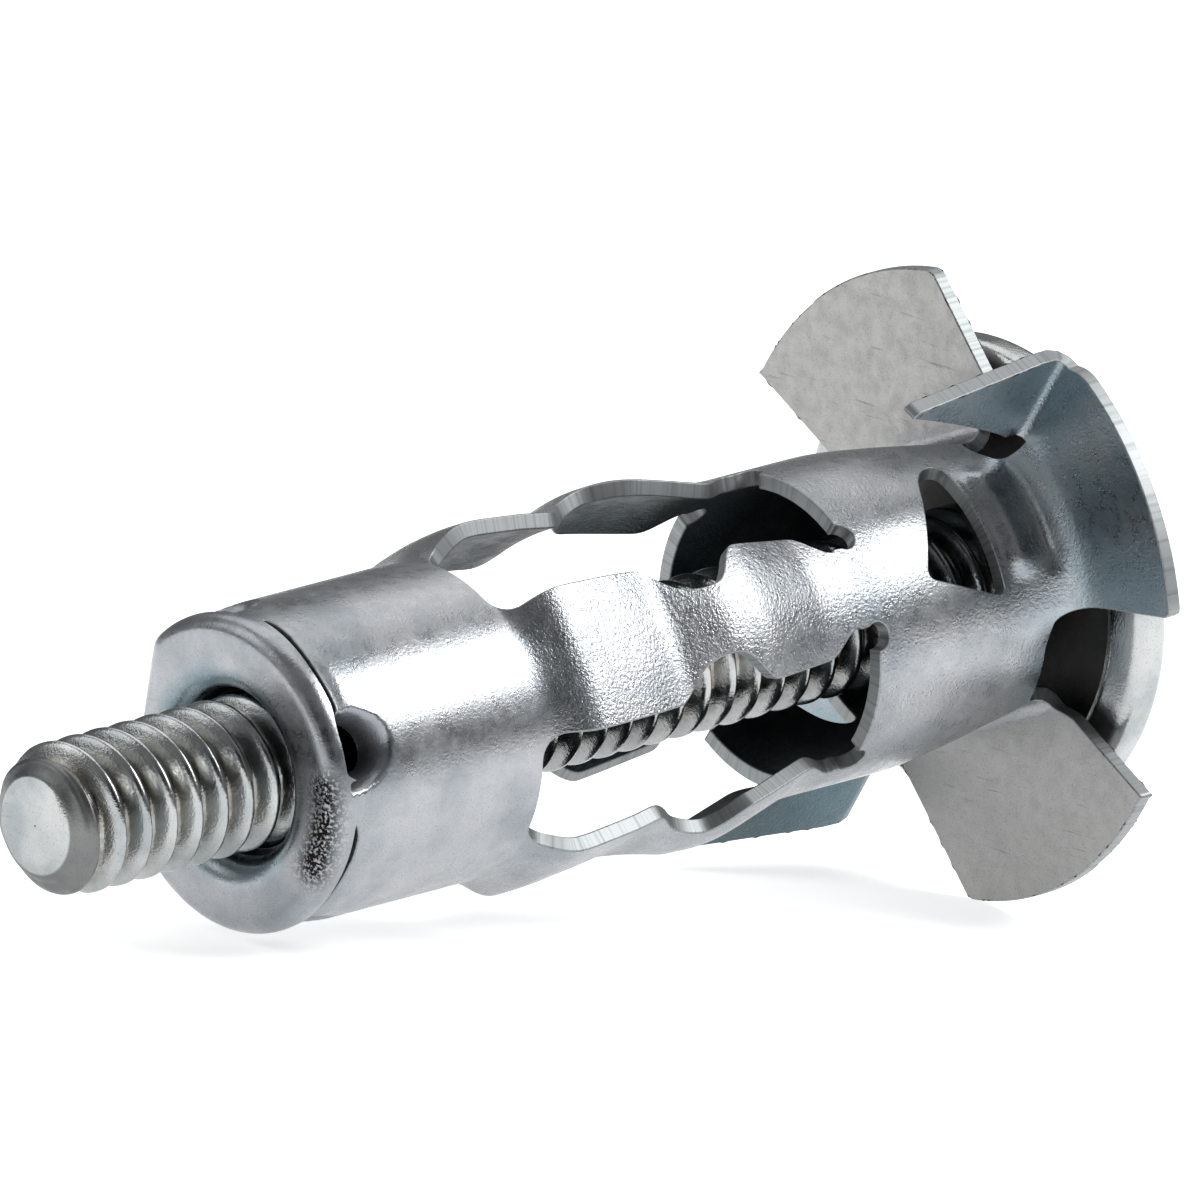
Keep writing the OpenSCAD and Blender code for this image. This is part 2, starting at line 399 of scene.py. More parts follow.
def first_match(points: np.ndarray, reach: float) -> np.ndarray:
    """For each point, the number of the first point that lies within reach of it."""
    out = np.arange(len(points))
    for chunk in np.array_split(np.arange(len(points)), max(1, len(points) // 400)):
        d = points[chunk][:, None] - points[None]
        out[chunk] = np.argmax(np.einsum("ijk,ijk->ij", d, d) < reach * reach, axis=1)
    return out


def free_edges(tris: np.ndarray) -> tuple[np.ndarray, np.ndarray]:
    """Directed sides that only one triangle has.

    Args:
        tris: Triangles.

    Returns:
        The sides as pairs of point numbers, and for each the number of its place in the sides of all triangles.
    """
    sides = np.concatenate([tris[:, [0, 1]], tris[:, [1, 2]], tris[:, [2, 0]]])
    size = int(tris.max()) + 1
    alone = ~np.isin(sides[:, 0] * size + sides[:, 1], sides[:, 1] * size + sides[:, 0])
    return sides[alone], np.nonzero(alone)[0]


def thickened(patches: list[SheetPatch], thickness: float, edge_round: float) -> Shell:
    """Joins patches where their edges meet and gives them the sheet's thickness.

    The second face is p - t n for each point p with normal n. Round every free edge, b points out of the sheet
    in its own surface, and the edge runs p - c b, p - c n, p - (t - c) n, p - t n - c b, so that it is
    broken by a width c on both faces.

    Args:
        patches: Patches of one sheet.
        thickness: The sheet's thickness in metres.
        edge_round: The width c by which its edges are broken.

    Returns:
        The shell, whose slots are 0 for the outer face, 1 for the inner face and 2 for a sheared edge.
    """
    parts = [p.mesh() for p in patches]
    points, normals = np.concatenate([p[0] for p in parts]), np.concatenate([p[1] for p in parts])
    starts = np.cumsum([0] + [len(p[0]) for p in parts])
    tris = np.concatenate([p[2] + start for p, start in zip(parts, starts)])
    flat = np.concatenate([p[3] for p in parts])
    wear = np.concatenate([patch.wear(p[3]) for patch, p in zip(patches, parts)])
    uv = flat[tris]
    rim = np.unique(free_edges(tris)[0])
    target = np.arange(len(points))
    target[rim] = rim[first_match(points[rim], 0.006 * MM)]
    summed = np.zeros_like(normals)
    np.add.at(summed, target, normals)
    normals = summed / (np.linalg.norm(summed, axis=1)[:, None] + 1e-15)
    tris = target[tris]
    whole = (tris[:, 0] != tris[:, 1]) & (tris[:, 1] != tris[:, 2]) & (tris[:, 0] != tris[:, 2])
    tris, uv = tris[whole], uv[whole]
    edge, where = free_edges(tris)
    corner = np.concatenate([uv[:, [0, 1]], uv[:, [1, 2]], uv[:, [2, 0]]])[where]
    out = np.zeros_like(points)
    side = np.cross(points[edge[:, 1]] - points[edge[:, 0]], normals[edge[:, 0]] + normals[edge[:, 1]])
    side /= np.linalg.norm(side, axis=1)[:, None] + 1e-15
    np.add.at(out, edge[:, 0], side)
    np.add.at(out, edge[:, 1], side)
    on_rim = np.unique(edge)
    out[on_rim] /= np.linalg.norm(out[on_rim], axis=1)[:, None] + 1e-15
    n, m = len(points), len(on_rim)
    number = np.zeros(n, int)
    number[on_rim] = np.arange(m)
    outer, inner = points - edge_round * out, points - thickness * normals - edge_round * out
    upper = (points - edge_round * normals)[on_rim]
    lower = (points - (thickness - edge_round) * normals)[on_rim]
    b = out[on_rim]
    u, v = edge[:, 0], edge[:, 1]
    rows = [(u, v), (number[u] + 2 * n, number[v] + 2 * n), (number[u] + 2 * n + m, number[v] + 2 * n + m),
            (u + n, v + n)]
    faces, uvs = [tris, tris[:, ::-1] + n], [uv, uv[:, ::-1]]
    marks = [np.full(len(tris), Face.OUTER.value), np.full(len(tris), Face.INNER.value)]
    for (a0, a1), (b0, b1) in zip(rows[:-1], rows[1:]):
        faces += [np.stack([a1, a0, b0], 1), np.stack([a1, b0, b1], 1)]
        uvs += [corner[:, [1, 0, 0]], corner[:, [1, 0, 1]]]
        marks += [np.full(2 * len(edge), Face.EDGE.value)]
    return Shell(
        np.concatenate([outer, inner, upper, lower]),
        np.concatenate([normals, -normals, b, b]),
        np.concatenate([wear, wear, wear[on_rim], wear[on_rim]]),
        np.concatenate(faces),
        np.concatenate(uvs),
        np.concatenate(marks).astype(np.int32),
    )


def new_piece(
    name: str, points: np.ndarray, faces: np.ndarray | list, normals: np.ndarray | None = None
) -> bpy.types.Object:
    """Puts arrays into a new mesh object at the origin.

    Args:
        name: The object's name.
        points: Vertex positions in metres.
        faces: Vertex numbers of each face.
        normals: A normal for each vertex, where the surface has its own.

    Returns:
        The object.
    """
    mesh = bpy.data.meshes.new(name)
    mesh.from_pydata(points.tolist(), [], faces if isinstance(faces, list) else faces.tolist())
    mesh.polygons.foreach_set("use_smooth", np.ones(len(mesh.polygons), bool))
    if normals is not None:
        mesh.normals_split_custom_set_from_vertices(normals.tolist())
    piece = bpy.data.objects.new(name, mesh)
    bpy.context.scene.collection.objects.link(piece)
    return piece


def add_values(piece: bpy.types.Object, name: str, values: np.ndarray) -> None:
    """Stores one number for each vertex of a piece, for its finish to read."""
    layer = piece.data.attributes.new(name, "FLOAT", "POINT")
    layer.data.foreach_set("value", np.asarray(values, np.float32))


def grid_faces(rows: int, columns: int, closed: bool) -> np.ndarray:
    """Quads of a grid of rows by columns, closed across its columns if asked."""
    r, c = np.meshgrid(np.arange(rows - 1), np.arange(columns if closed else columns - 1), indexing="ij")
    d = (c + 1) % columns
    here, above = r * columns, (r + 1) * columns
    return np.stack([here + c, here + d, above + d, above + c], -1).reshape(-1, 4)


# ---------------------------------------------------------------- sleeve


@dataclass
class Sleeve:
    """The folded sheet: nose, four legs, collar and four wings, two of them clawed."""

    axis: Axis
    radius: float = 5.0
    sheet: float = 0.5
    rim_r: float = 0.6
    mouth_curl: float = 1.0
    mouth_r: float = 2.62
    nose_len: float = 8.7
    leg_end: float = 22.7
    leg_turn: float = 8.0
    flange_top: float = 30.85
    flange_r: float = 9.9
    free_edge: float = 29.8
    roll_r: float = 2.6
    fold_dist: float = 4.1
    fold_high: float = 29.95
    fold_r: float = 0.4
    claw_from: float = -16.0
    claw_to: float = 35.0
    claw_root_r: float = 6.4
    claw_out_r: float = 9.62
    claw_low: float = 23.5
    claw_bend: float = 0.3
    claw_lean: float = 6.5
    edge_round: float = 0.05
    split_height: float = 4.0
    nose_seam: float = 68.0
    cage_seam: float = 98.0
    # A leg's rise above the tube, as (height, rise), and its half width, as (height, half width)
    rises: tuple[tuple[float, float], ...] = (
        (8.7, 0), (9.0, 0), (10.3, 0.66), (11.0, 0.67), (13.0, 0.48), (14.4, 0.26), (15.2, 0.48),
        (16.4, 0.74), (17.7, 0.78), (18.5, 0.62), (20.8, 0.05), (21.6, 0), (22.7, 0),
    )
    widths: tuple[tuple[float, float], ...] = (
        (8.7, 2.14), (14.3, 2.2), (15.2, 1.3), (16.0, 1.05), (16.8, 1.1), (17.7, 2.1),
        (20.9, 2.15), (21.9, 1.35), (22.7, 1.3),
    )
    # Share by which a leg's section is flat instead of curved, near the nose and near the collar
    flatness: tuple[float, float] = (0.8, 0.15)
    # Slot in the collar, as (angle, height, corner cut)
    slot_corners: tuple = ((4.5, 25.25, 0.35), (42.0, 26.95, 0.4), (47.0, 27.5, 0.3), (46.0, 28.1, 0.3),
                           (-8.0, 28.15, 0.25), (-6.5, 27.6, 0.25))
    # Corners of a flat wing, as (across the fold, distance from the axis)
    wing_near_low: tuple[float, float] = (-4.35, 4.9)
    wing_near_high: tuple[float, float] = (-2.95, 9.35)
    wing_far_mid: tuple[float, float] = (3.95, 4.95)
    wing_far_high: tuple[float, float] = (6.15, 7.85)
    # Bead and groove of the roll, as (height added, place along the sheet, half width), and the angle amid them
    bead: tuple[float, float, float] = (0.24, 28.95, 0.4)
    groove: tuple[float, float, float] = (0.18, 29.95, 0.3)
    bead_turn: float = 19.0
    # Spacing of the points inside the nose, the cage and the wings, and the claws
    nose_grain: float = 0.13
    cage_grain: float = 0.2
    claw_grain: float = 0.18
    # Lances: a bowl with a round hole in its middle, and the slit that runs from it
    bowl_height: float = 0.92
    bowl_turn: float = -2.5
    bowl_deep: float = 1.1
    bowl_high: float = 1.75
    bowl_wide: float = 16.0
    hole_high: float = 1.1
    hole_wide: float = 11.5
    slit_gap: float = 0.16
    nose_flat: float = 4.0
    nose_flat_turn: float = 147.0
    corner_r: float = 0.8
    relief_r: float = 0.45
    path_nose: Path = field(init=False)
    path_roll: Path = field(init=False)

    def __post_init__(self) -> None:
        """Works out the two outlines that the sheet follows at its ends."""
        r, rim, curl = self.radius, self.rim_r, self.mouth_curl
        lip = self.mouth_r + 0.99 * curl
        nose = np.concatenate([
            arc_points((lip, curl), curl, 188, 270, 12),
            arc_points((r - rim, rim), rim, 270, 360, 12),
            [[r, 40.0]],
        ])
        steps = np.hypot(*np.diff(nose, axis=0).T)
        self.path_nose = Path.through(nose, rim - float(np.sum(steps[:-1])))
        bend = self.roll_r - self.sheet
        low = self.flange_top - self.roll_r
        roll = np.concatenate([
            [[r, 0.0]],
            arc_points((r + bend, low), bend, 180, 90, 24),
            [[r + bend + 10, low + bend]],
        ])
        self.path_roll = Path.through(roll, 0.0)

    # ---- the bent surface

    def rise(self, z: np.ndarray) -> np.ndarray:
        """Leg's rise: straight runs between its stations, averaged over a bend's width at each crease."""
        zs, vs = np.array(self.rises).T
        offsets = np.linspace(-0.35, 0.35, 9)
        return np.mean([np.interp(z + o, zs, vs) for o in offsets], axis=0)

    def lance_dent(self, angle: np.ndarray, z: np.ndarray) -> np.ndarray:
        """Depth of the dents beside the four lances, each a bowl that thins out along its slit."""
        a = (np.asarray(angle) + 45.0) % 90.0 - 45.0
        middle = self.slit_height(a) + 0.5 * self.slit_width(a)
        off = np.hypot((z - self.bowl_height) / self.bowl_high, (a - self.bowl_turn) / self.bowl_wide)
        bowl = self.bowl_deep * (1.0 - smooth_step((off - 0.55) / 0.45))
        trough = 0.1 * smooth_step((60.0 - a) / 40.0) * smooth_step((a + 3.0) / 10.0)
        trough *= 1.0 - smooth_step((z - middle) / 0.6)
        return np.where(z > middle, np.maximum(bowl, trough), 0.0)

    def nose_dent(self, r: np.ndarray, angle: np.ndarray, z: np.ndarray) -> np.ndarray:
        """Depth of the flat pressed into the rim: a plane that leans out of the tube, eased towards the mouth."""
        off = np.clip(wrapped(angle - self.nose_flat_turn), -60, 60)
        plane = (self.nose_flat + 0.34 * np.maximum(z, 0.0)) / np.cos(np.radians(off))
        x = self.radius - plane
        cut = 0.5 * (x + np.sqrt(x * x + 0.12**2))
        return np.where(np.abs(off) < 60, cut, 0.0) * smooth_step((r - 3.3) / 1.7)

    def slit_height(self, a: np.ndarray) -> np.ndarray:
        """Height of the slit's side towards the tip, at an angle from the bowl."""
        a = np.asarray(a, float)
        return 0.66 + 0.15 * smooth_step((a - 4.0) / 12.0) + 0.14 * smooth_step((a - 25.0) / 35.0)

    def slit_width(self, a: np.ndarray) -> np.ndarray:
        """Width of the slit, which opens into a round hole in the bowl's middle."""
        a = np.asarray(a, float)
        round_part = np.sqrt(np.clip(1.0 - ((a - self.bowl_turn) / self.hole_wide) ** 2, 0.0, 1.0))
        hole_top = self.bowl_height + self.hole_high * round_part
        hole = np.where(round_part > 0, hole_top - self.slit_height(a), 0.0)
        return np.maximum(self.slit_gap * smooth_step((62.0 - a) / 8.0), hole)

    def flattened(self, r: np.ndarray, angle: np.ndarray, z: np.ndarray) -> np.ndarray:
        """Radius of the wall once it is pressed flat towards the flat wings' folds.

        The flat lies at d = 4.1 + 0.22 (fold - z) from the axis, and the two forms blend as
        r - (x + sqrt(x^2 + k^2)) / 2, where x is what the flat takes off.
        """
        out = r
        for middle in (90.0, -90.0):
            off = wrapped(angle - middle)
            d = self.fold_dist + 0.22 * np.maximum(self.fold_high - z, 0.0)
            plane = d / np.cos(np.radians(np.clip(off, -60, 60)))
            x = r - plane
            cut = 0.5 * (x + np.sqrt(x * x + 0.05**2)) - 0.0006
            out = np.where(np.abs(off) < 60, out - np.maximum(cut, 0.0), out)
        return out

    def wing_share(self, angle: np.ndarray) -> np.ndarray:
        """How far the wall rolls outwards: 1 under a clawed wing, easing to 0 beside it."""
        out = np.zeros_like(np.asarray(angle, float))
        for middle in (0.0, 180.0):
            a = wrapped(angle - middle)
            side = np.maximum(self.claw_from - a, a - self.claw_to)
            out = np.maximum(out, 1.0 - smooth_step(side / 16.0))
        return out

    def wall(self, flat: np.ndarray) -> np.ndarray:
        """Carries flat points of the nose, legs, collar and clawed wings onto the bent sheet.

        The radius is the nose's outline plus the leg's rise, times 1 / cos of the angle where a leg is flat,
        less the dents. Under a clawed wing it follows the rolled outline, and a bead of two bell curves,
        h exp(-((t - t0) / w)^2), stands on the roll.

        Args:
            flat: Rows of (arc length round the tube, length along it), in millimetres.

        Returns:
            Points in metres.
        """
        angle, t = np.degrees(flat[:, 0] / self.radius), flat[:, 1]
        r, z = self.path_nose.at(t)
        leg = wrapped((angle - self.leg_turn + 45.0) % 90.0 - 45.0)
        span = smooth_step((t - self.nose_len) / 1.2) * smooth_step((self.leg_end - 0.4 - t) / 2.0)
        r = np.where(t > 5.0, r + self.rise(t), r)
        near, far = self.flatness
        flatness = near + (far - near) * smooth_step((t - 14.5) / 3.0)
        level = 1.0 / np.cos(np.radians(np.clip(leg, -40, 40) * flatness))
        level = level - 0.5 * (1 / np.cos(np.radians(22 * flatness)) - 1)
        r = r * (1.0 + (level - 1.0) * span)
        r = r - np.where(t < 4.0, self.lance_dent(angle, t) + self.nose_dent(r, angle, z), 0.0)
        r = self.flattened(r, angle, np.minimum(t, self.fold_high))
        rolled_r, rolled_z = self.path_roll.at(t)
        share = self.wing_share(angle) * (t > self.flange_top - self.roll_r)
        r = r + (rolled_r - self.radius) * share
        z = z + (rolled_z - z) * share
        (high, at, half), (deep, low_at, low_half) = self.bead, self.groove
        bead = high * np.exp(-(((t - at) / half) ** 2)) - deep * np.exp(-(((t - low_at) / low_half) ** 2))
        bead = bead * share * smooth_step((50.0 - np.abs(wrapped(2.0 * (angle - self.bead_turn)))) / 20.0)
        r, z = r + 0.8 * bead, z - 0.6 * bead
        return self.axis.place(r, angle, z)

    def flat_wing(self, middle: float) -> Callable[[np.ndarray], np.ndarray]:
        """Bent surface of a flat wing, past its fold.

        With a turn v = q / r up to 90 degrees, a point lies r (1 - cos v) out and r sin v up from the fold,
        and what is left of q runs straight out.

        Args:
            middle: Angle of the wing's fold round the axis.

        Returns:
            A function of flat points (across the fold, past the fold).
        """

        def bent(flat: np.ndarray) -> np.ndarray:
            """Carries flat points round the fold and outwards."""
            across, q = flat[:, 0], flat[:, 1]
            base = self.fold_line(np.clip(across, -2.9, 2.9))
            turn = np.clip(q / self.fold_r, 0, math.pi / 2)
            run = np.maximum(q - self.fold_r * math.pi / 2, 0.0)
            out = base + self.fold_r * (1 - np.cos(turn)) + run
            z = self.fold_high + self.fold_r * np.sin(turn)
            return self.axis.turned(out, across, z, middle)

        return bent

    def fold_line(self, across: np.ndarray) -> np.ndarray:
        """Distance of the fold from the axis, where the flattened wall ends."""
        angle = np.degrees(np.arctan2(across, self.fold_dist))
        for _ in range(6):
            r = self.flattened(np.full_like(angle, self.radius), angle + 90.0, np.full_like(angle, self.fold_high))
            angle = np.degrees(np.arcsin(np.clip(across / r, -1, 1)))
        return r * np.cos(np.radians(angle))

    def claw(self, base: float) -> Callable[[np.ndarray], np.ndarray]:
        """Bent surface of a claw that is turned down from its wing's edge.

        With a turn v = q / r up to 90 degrees and the lean, a point lies r sin v across and r (1 - cos v)
        down from the edge, and what is left of q runs straight on.

        Args:
            base: Angle of the wing's edge.

        Returns:
            A function of flat points (distance from the axis, length past the edge).
        """

        def bent(flat: np.ndarray) -> np.ndarray:
            """Carries flat points round the bend and down towards the tip."""
            rho, q = flat[:, 0], flat[:, 1]
            lean = math.radians(self.claw_lean)
            most = math.pi / 2 + lean
            turn = np.clip(q / self.claw_bend, 0, most)
            run = np.maximum(q - self.claw_bend * most, 0.0)
            across = self.claw_bend * np.sin(turn) - run * math.sin(lean)
            z = self.roll_height(rho) - self.claw_bend * (1 - np.cos(turn)) - run * math.cos(lean)
            return self.axis.turned(rho, across, z, base)

        return bent

    # ---- flat outlines

    def at_angle(self, angle: float | np.ndarray, t: float | np.ndarray) -> np.ndarray:
        """Flat point at an angle round the tube and a length along it."""
        angle, t = np.broadcast_arrays(np.asarray(angle, float), np.asarray(t, float))
        return np.stack([np.radians(angle) * self.radius, t], -1)

    def leg_edge(self, number: int, way: int) -> np.ndarray:
        """One side of a leg's outline, from its root at the nose to its root at the collar."""
        zs, ws = np.array(self.widths).T
        z = np.linspace(self.nose_len + self.corner_r, self.leg_end - 0.35, 90)
        w = np.mean([np.interp(z + o, zs, ws) for o in np.linspace(-0.25, 0.25, 7)], axis=0)
        c = self.corner_r
        corner = arc_points((ws[0] + c, self.nose_len + c), c, 270, 180, 8)[:-1]
        relief = (ws[-1] + 0.85 * self.relief_r, self.leg_end + 0.05)
        notch = arc_points(relief, self.relief_r, 215, 0, 14)
        side = np.concatenate([corner, np.stack([w, z], 1), notch])
        side[:, 0] *= way
        angle = self.leg_turn + 90.0 * number + np.degrees(np.arcsin(side[:, 0] / (self.radius + 0.45)))
        near_tube = side[:, 1] > self.leg_end - 0.5
        angle = np.where(near_tube, self.leg_turn + 90.0 * number + np.degrees(side[:, 0] / self.radius), angle)
        return self.at_angle(angle, side[:, 1])

    def window(self, number: int) -> np.ndarray:
        """Closed outline of the opening between a leg and the next one."""
        near, far = self.leg_edge(number, 1), self.leg_edge(number + 1, -1)
        return densified(np.concatenate([near, far[::-1]]), 0.15, closed=True)

    def slot(self, turn: float) -> np.ndarray:
        """Outline of the slot in the collar under a clawed wing."""
        flat = [tuple(self.at_angle(turn + a, t)) + (cut,) for a, t, cut in self.slot_corners]
        return densified(rounded(flat), 0.15, closed=True)

    def slit(self, number: int) -> np.ndarray:
        """Outline of a lance's slit, round at its wide end."""
        a = np.concatenate([np.linspace(60.0, 9.0, 40), np.linspace(8.6, -13.2, 50)])
        end = smooth_step((a + 13.3) / 3.0) ** 0.5
        wide, low = self.slit_width(a) * end, self.slit_height(a) + 0.5 * self.slit_width(a) * (1.0 - end)
        lower = self.at_angle(a + 90.0 * number, low)
        upper = self.at_angle(a[::-1] + 90.0 * number, (low + wide)[::-1])
        return resampled(np.concatenate([lower, upper]), 0.13)

    def split_line(self, start: float) -> np.ndarray:
        """Flat points of the circle where the nose's patch meets the cage's, all at whole steps of 2 degrees."""
        return self.at_angle(start + np.arange(0, 361, 2.0), self.split_height)

    def nose_patch(self) -> SheetPatch:
        """Nose: from the curled mouth, over the rim, to the circle where the cage begins."""
        low = self.path_nose.length[0]
        start, end = self.nose_seam, self.nose_seam + 360.0
        mouth = self.at_angle(end - np.arange(0, 361, 2.0), low)
        seam = np.linspace(low, self.split_height, 40)[1:-1]
        outer = np.concatenate([
            self.split_line(start), self.at_angle(end, seam[::-1]), mouth, self.at_angle(start, seam),
        ])
        slits = [self.slit(k) for k in range(1, 5)]
        return SheetPatch([outer] + slits, self.wall, self.nose_grain, self.off_axis, self.tube_wear)

    def roll_length(self, radius: float | np.ndarray) -> np.ndarray:
        """Length along the rolled outline at which it reaches a radius."""
        return np.interp(radius, self.path_roll.radius[1:], self.path_roll.length[1:])

    def roll_height(self, radius: np.ndarray) -> np.ndarray:
        """Height of the rolled outline at a radius."""
        return np.interp(radius, self.path_roll.radius[1:], self.path_roll.height[1:])

    def top_edge(self, turn: float) -> np.ndarray:
        """Free edge of half the collar and the clawed wing in its middle.

        Beside the wing the edge turns up or down through a quarter ellipse.

        Args:
            turn: The wing's angle round the axis.

        Returns:
            Flat points from one fold's end to the next one's.
        """
        v = np.linspace(0, math.pi / 2, 10)
        near, far, free = self.claw_from, self.claw_to, self.free_edge
        root, edge = self.roll_length(self.claw_root_r) - 0.15, self.roll_length(self.flange_r)
        rho = np.linspace(self.claw_out_r, self.claw_root_r, 22)
        ease = np.linspace(0, 1, 10)
        parts = [
            self.at_angle(-54.0, free),
            self.at_angle(near - 6.0 + 6.0 * np.sin(v), free + 1.3 * (1 - np.cos(v))),
            self.at_angle(near, edge - 0.25),
            self.at_angle(near + 0.7, edge - 0.04),
            self.at_angle(np.linspace(near + 1.6, far - 5.5, 30), edge),
            self.at_angle(far - 5.0 + 4.8 * ease, edge - (self.flange_r - self.claw_out_r) * ease**2),
            self.at_angle(far, self.roll_length(rho)),
            self.at_angle(far + 6.0 * (1 - np.cos(v)), root - (root - free) * np.sin(v)),
            self.at_angle(54.0, free),
        ]
        flat = np.concatenate([np.atleast_2d(p) for p in parts])
        flat[:, 0] += math.radians(turn) * self.radius
        return flat

    def fold_angles(self) -> np.ndarray:
        """Angles from the fold's middle at which the collar and a flat wing share points."""
        return np.linspace(-34.0, 34.0, 35)

    def fold_points(self, turn: float) -> np.ndarray:
        """Flat points of the collar along a flat wing's fold."""
        return self.at_angle(turn + self.fold_angles(), self.fold_high)

    def cage_patch(self) -> SheetPatch:
        """Cage: the rest of the nose, the legs, the collar and both clawed wings, cut from one piece."""
        start, end = self.cage_seam, self.cage_seam + 360.0
        fold_up = self.fold_points(90.0)
        fold_down = self.fold_points(270.0)
        seam_x = math.radians(start) * self.radius
        lap = math.radians(360.0) * self.radius
        seam_t = np.linspace(self.split_height, self.fold_high, 130)
        after = fold_up[fold_up[:, 0] > seam_x + 1e-6]
        before = fold_up[fold_up[:, 0] < seam_x - 1e-6] + [lap, 0]
        top = np.concatenate([after, self.top_edge(180.0), fold_down, self.top_edge(360.0), before])
        outer = np.concatenate([
            self.at_angle(start, seam_t[::-1][:-1]),
            self.split_line(start),
            self.at_angle(end, seam_t[1:]),
            top[::-1],
        ])
        outer = densified(outer, 0.4, closed=True)
        holes = [self.window(k) for k in range(1, 5)]
        holes += [self.slot(180.0), self.slot(360.0)]
        holes = [h if h[:, 0].min() > seam_x else h + [lap, 0] for h in holes]
        holes = [h if h[:, 0].max() < seam_x + lap else h - [lap, 0] for h in holes]
        return SheetPatch([outer] + holes, self.wall, self.cage_grain, self.off_axis, self.tube_wear)

    def flat_wing_patch(self, turn: float) -> SheetPatch:
        """Flat wing from its fold outwards: straight root, leaning near side, radial far side."""
        angles = self.fold_angles()
        line = np.full_like(angles, self.radius)
        r = self.flattened(line, angles + 90.0, np.full_like(angles, self.fold_high))
        across = r * np.sin(np.radians(angles))
        root = np.stack([across, np.zeros_like(across)], 1)
        to_q = self.fold_r * math.pi / 2 - self.fold_dist - self.fold_r
        near_low, near_high = self.wing_near_low, self.wing_near_high
        far_mid, far_high = self.wing_far_mid, self.wing_far_high
        start = math.degrees(math.atan2(far_high[0], far_high[1]))
        stop = math.degrees(math.atan2(near_high[0], near_high[1]))
        a = np.radians(np.linspace(start - 1.2, stop + 1.2, 40))
        arc = np.stack([self.flange_r * np.sin(a), self.flange_r * np.cos(a)], 1)
        plane = np.concatenate([
            [[3.2, 4.45], [far_mid[0] - 0.2, far_mid[1] - 0.15], far_mid, far_high], arc,
            [near_high, near_low, [near_low[0] + 0.12, near_low[1] - 0.3], [-3.9, 4.5], [-3.2, 4.42]],
        ])
        plane[:, 1] += to_q
        outer = densified(np.concatenate([root, plane]), self.cage_grain, closed=True)
        loop = self.without_repeats(np.concatenate([root, outer[len(root) - 1:]]))
        return SheetPatch([loop], self.flat_wing(turn), self.cage_grain, self.tipwards, self.wing_wear)

    def without_repeats(self, loop: np.ndarray) -> np.ndarray:
        """Drops points of a loop that coincide with the one before them."""
        gap = np.linalg.norm(loop - np.roll(loop, 1, 0), axis=1)
        return loop[gap > 1e-4]

    def claw_patch(self, turn: float) -> SheetPatch:
        """Claw: a long triangle below its wing's edge, with a slightly hollow inner side."""
        rho = np.linspace(self.claw_root_r, self.claw_out_r, 22)
        root = np.stack([rho, np.zeros_like(rho)], 1)
        bend = self.claw_bend * math.pi / 2
        length = bend + self.flange_top - self.sheet - self.claw_bend - self.claw_low
        u = np.linspace(0, 1, 26)[1:]
        tip = np.array([self.claw_out_r + 0.02, length])
        low = np.array([self.claw_root_r + 0.02, bend + 0.3])
        inner = tip + (low - tip) * u[:, None]
        inner[:, 0] += 0.10 * np.sin(np.pi * u)
        far = self.claw_out_r
        outer_side = [[far + 0.12, bend], [far + 0.2, bend + 0.6], [far + 0.24, length - 0.2],
                      [far + 0.14, length - 0.04]]
        outer = densified(np.concatenate([root, outer_side, tip[None], inner]), self.claw_grain, closed=True)
        loop = self.without_repeats(np.concatenate([root, outer[np.argmax(outer[:, 1] > 1e-6):]]))
        side = self.axis.turned(np.zeros(1), np.ones(1), np.zeros(1), self.claw_to + turn)[0] - self.axis.origin
        bent = self.claw(self.claw_to + turn)
        return SheetPatch([loop], bent, self.claw_grain, lambda p: p * 0 - side, self.claw_wear)

    def off_axis(self, points: np.ndarray) -> np.ndarray:
        """Direction from the axis to each point."""
        local = points - self.axis.origin
        return local - (local @ self.axis.along)[:, None] * self.axis.along

    def tipwards(self, points: np.ndarray) -> np.ndarray:
        """Direction towards the tip, for each point."""
        return np.zeros_like(points) - self.axis.along

    def tube_wear(self, flat: np.ndarray) -> np.ndarray:
        """Shares of wear and painted shade on the nose and cage: strained past the nose, scored where the rim was
        crimped, a blue tint that is painted shade on the mouth's curl, and painted shade in the lances' bowls.
        """
        angle, t = wrapped(np.degrees(flat[:, 0] / self.radius)), flat[:, 1]
        strained = smooth_step((t - self.nose_len) / 1.0) * (1.0 - 0.65 * smooth_step((t - self.leg_end) / 2.5))
        scored = smooth_step((-2.0 - angle) / 14.0) * smooth_step((64.0 + angle) / 16.0)
        scored *= 1.2 * np.exp(-(((t + 0.3) / 0.6) ** 2))
        # Blue tint: painted shade on the mouth's curl, a plain tint of the plate on the roll.
        blued = 1.0 - smooth_step((t + 1.9) / 0.9) + 0.7 * smooth_step((t - self.flange_top + self.roll_r) / 3.0)
        # Painted shade: the colour darkens with the depth of the lances' bowls.
        dull = np.where(t < 4.0, smooth_step(self.lance_dent(angle, t) / 0.9), 0.0)
        return np.stack([np.zeros_like(t), strained, scored, blued, dull], 1)

    def wing_wear(self, flat: np.ndarray) -> np.ndarray:
        """Shares of wear on a flat wing: matt plate that starts just past the fold."""
        matt = smooth_step((flat[:, 1] - 0.3) / 0.7)
        return np.stack([matt, 0.6 * (1.0 - matt), 0 * matt, 0 * matt, 0 * matt], 1)

    def claw_wear(self, flat: np.ndarray) -> np.ndarray:
        """Shares of wear on a claw: strained and a little blue-tinted all over."""
        return np.tile([0.0, 1.0, 0.0, 0.5, 0.0], (len(flat), 1))

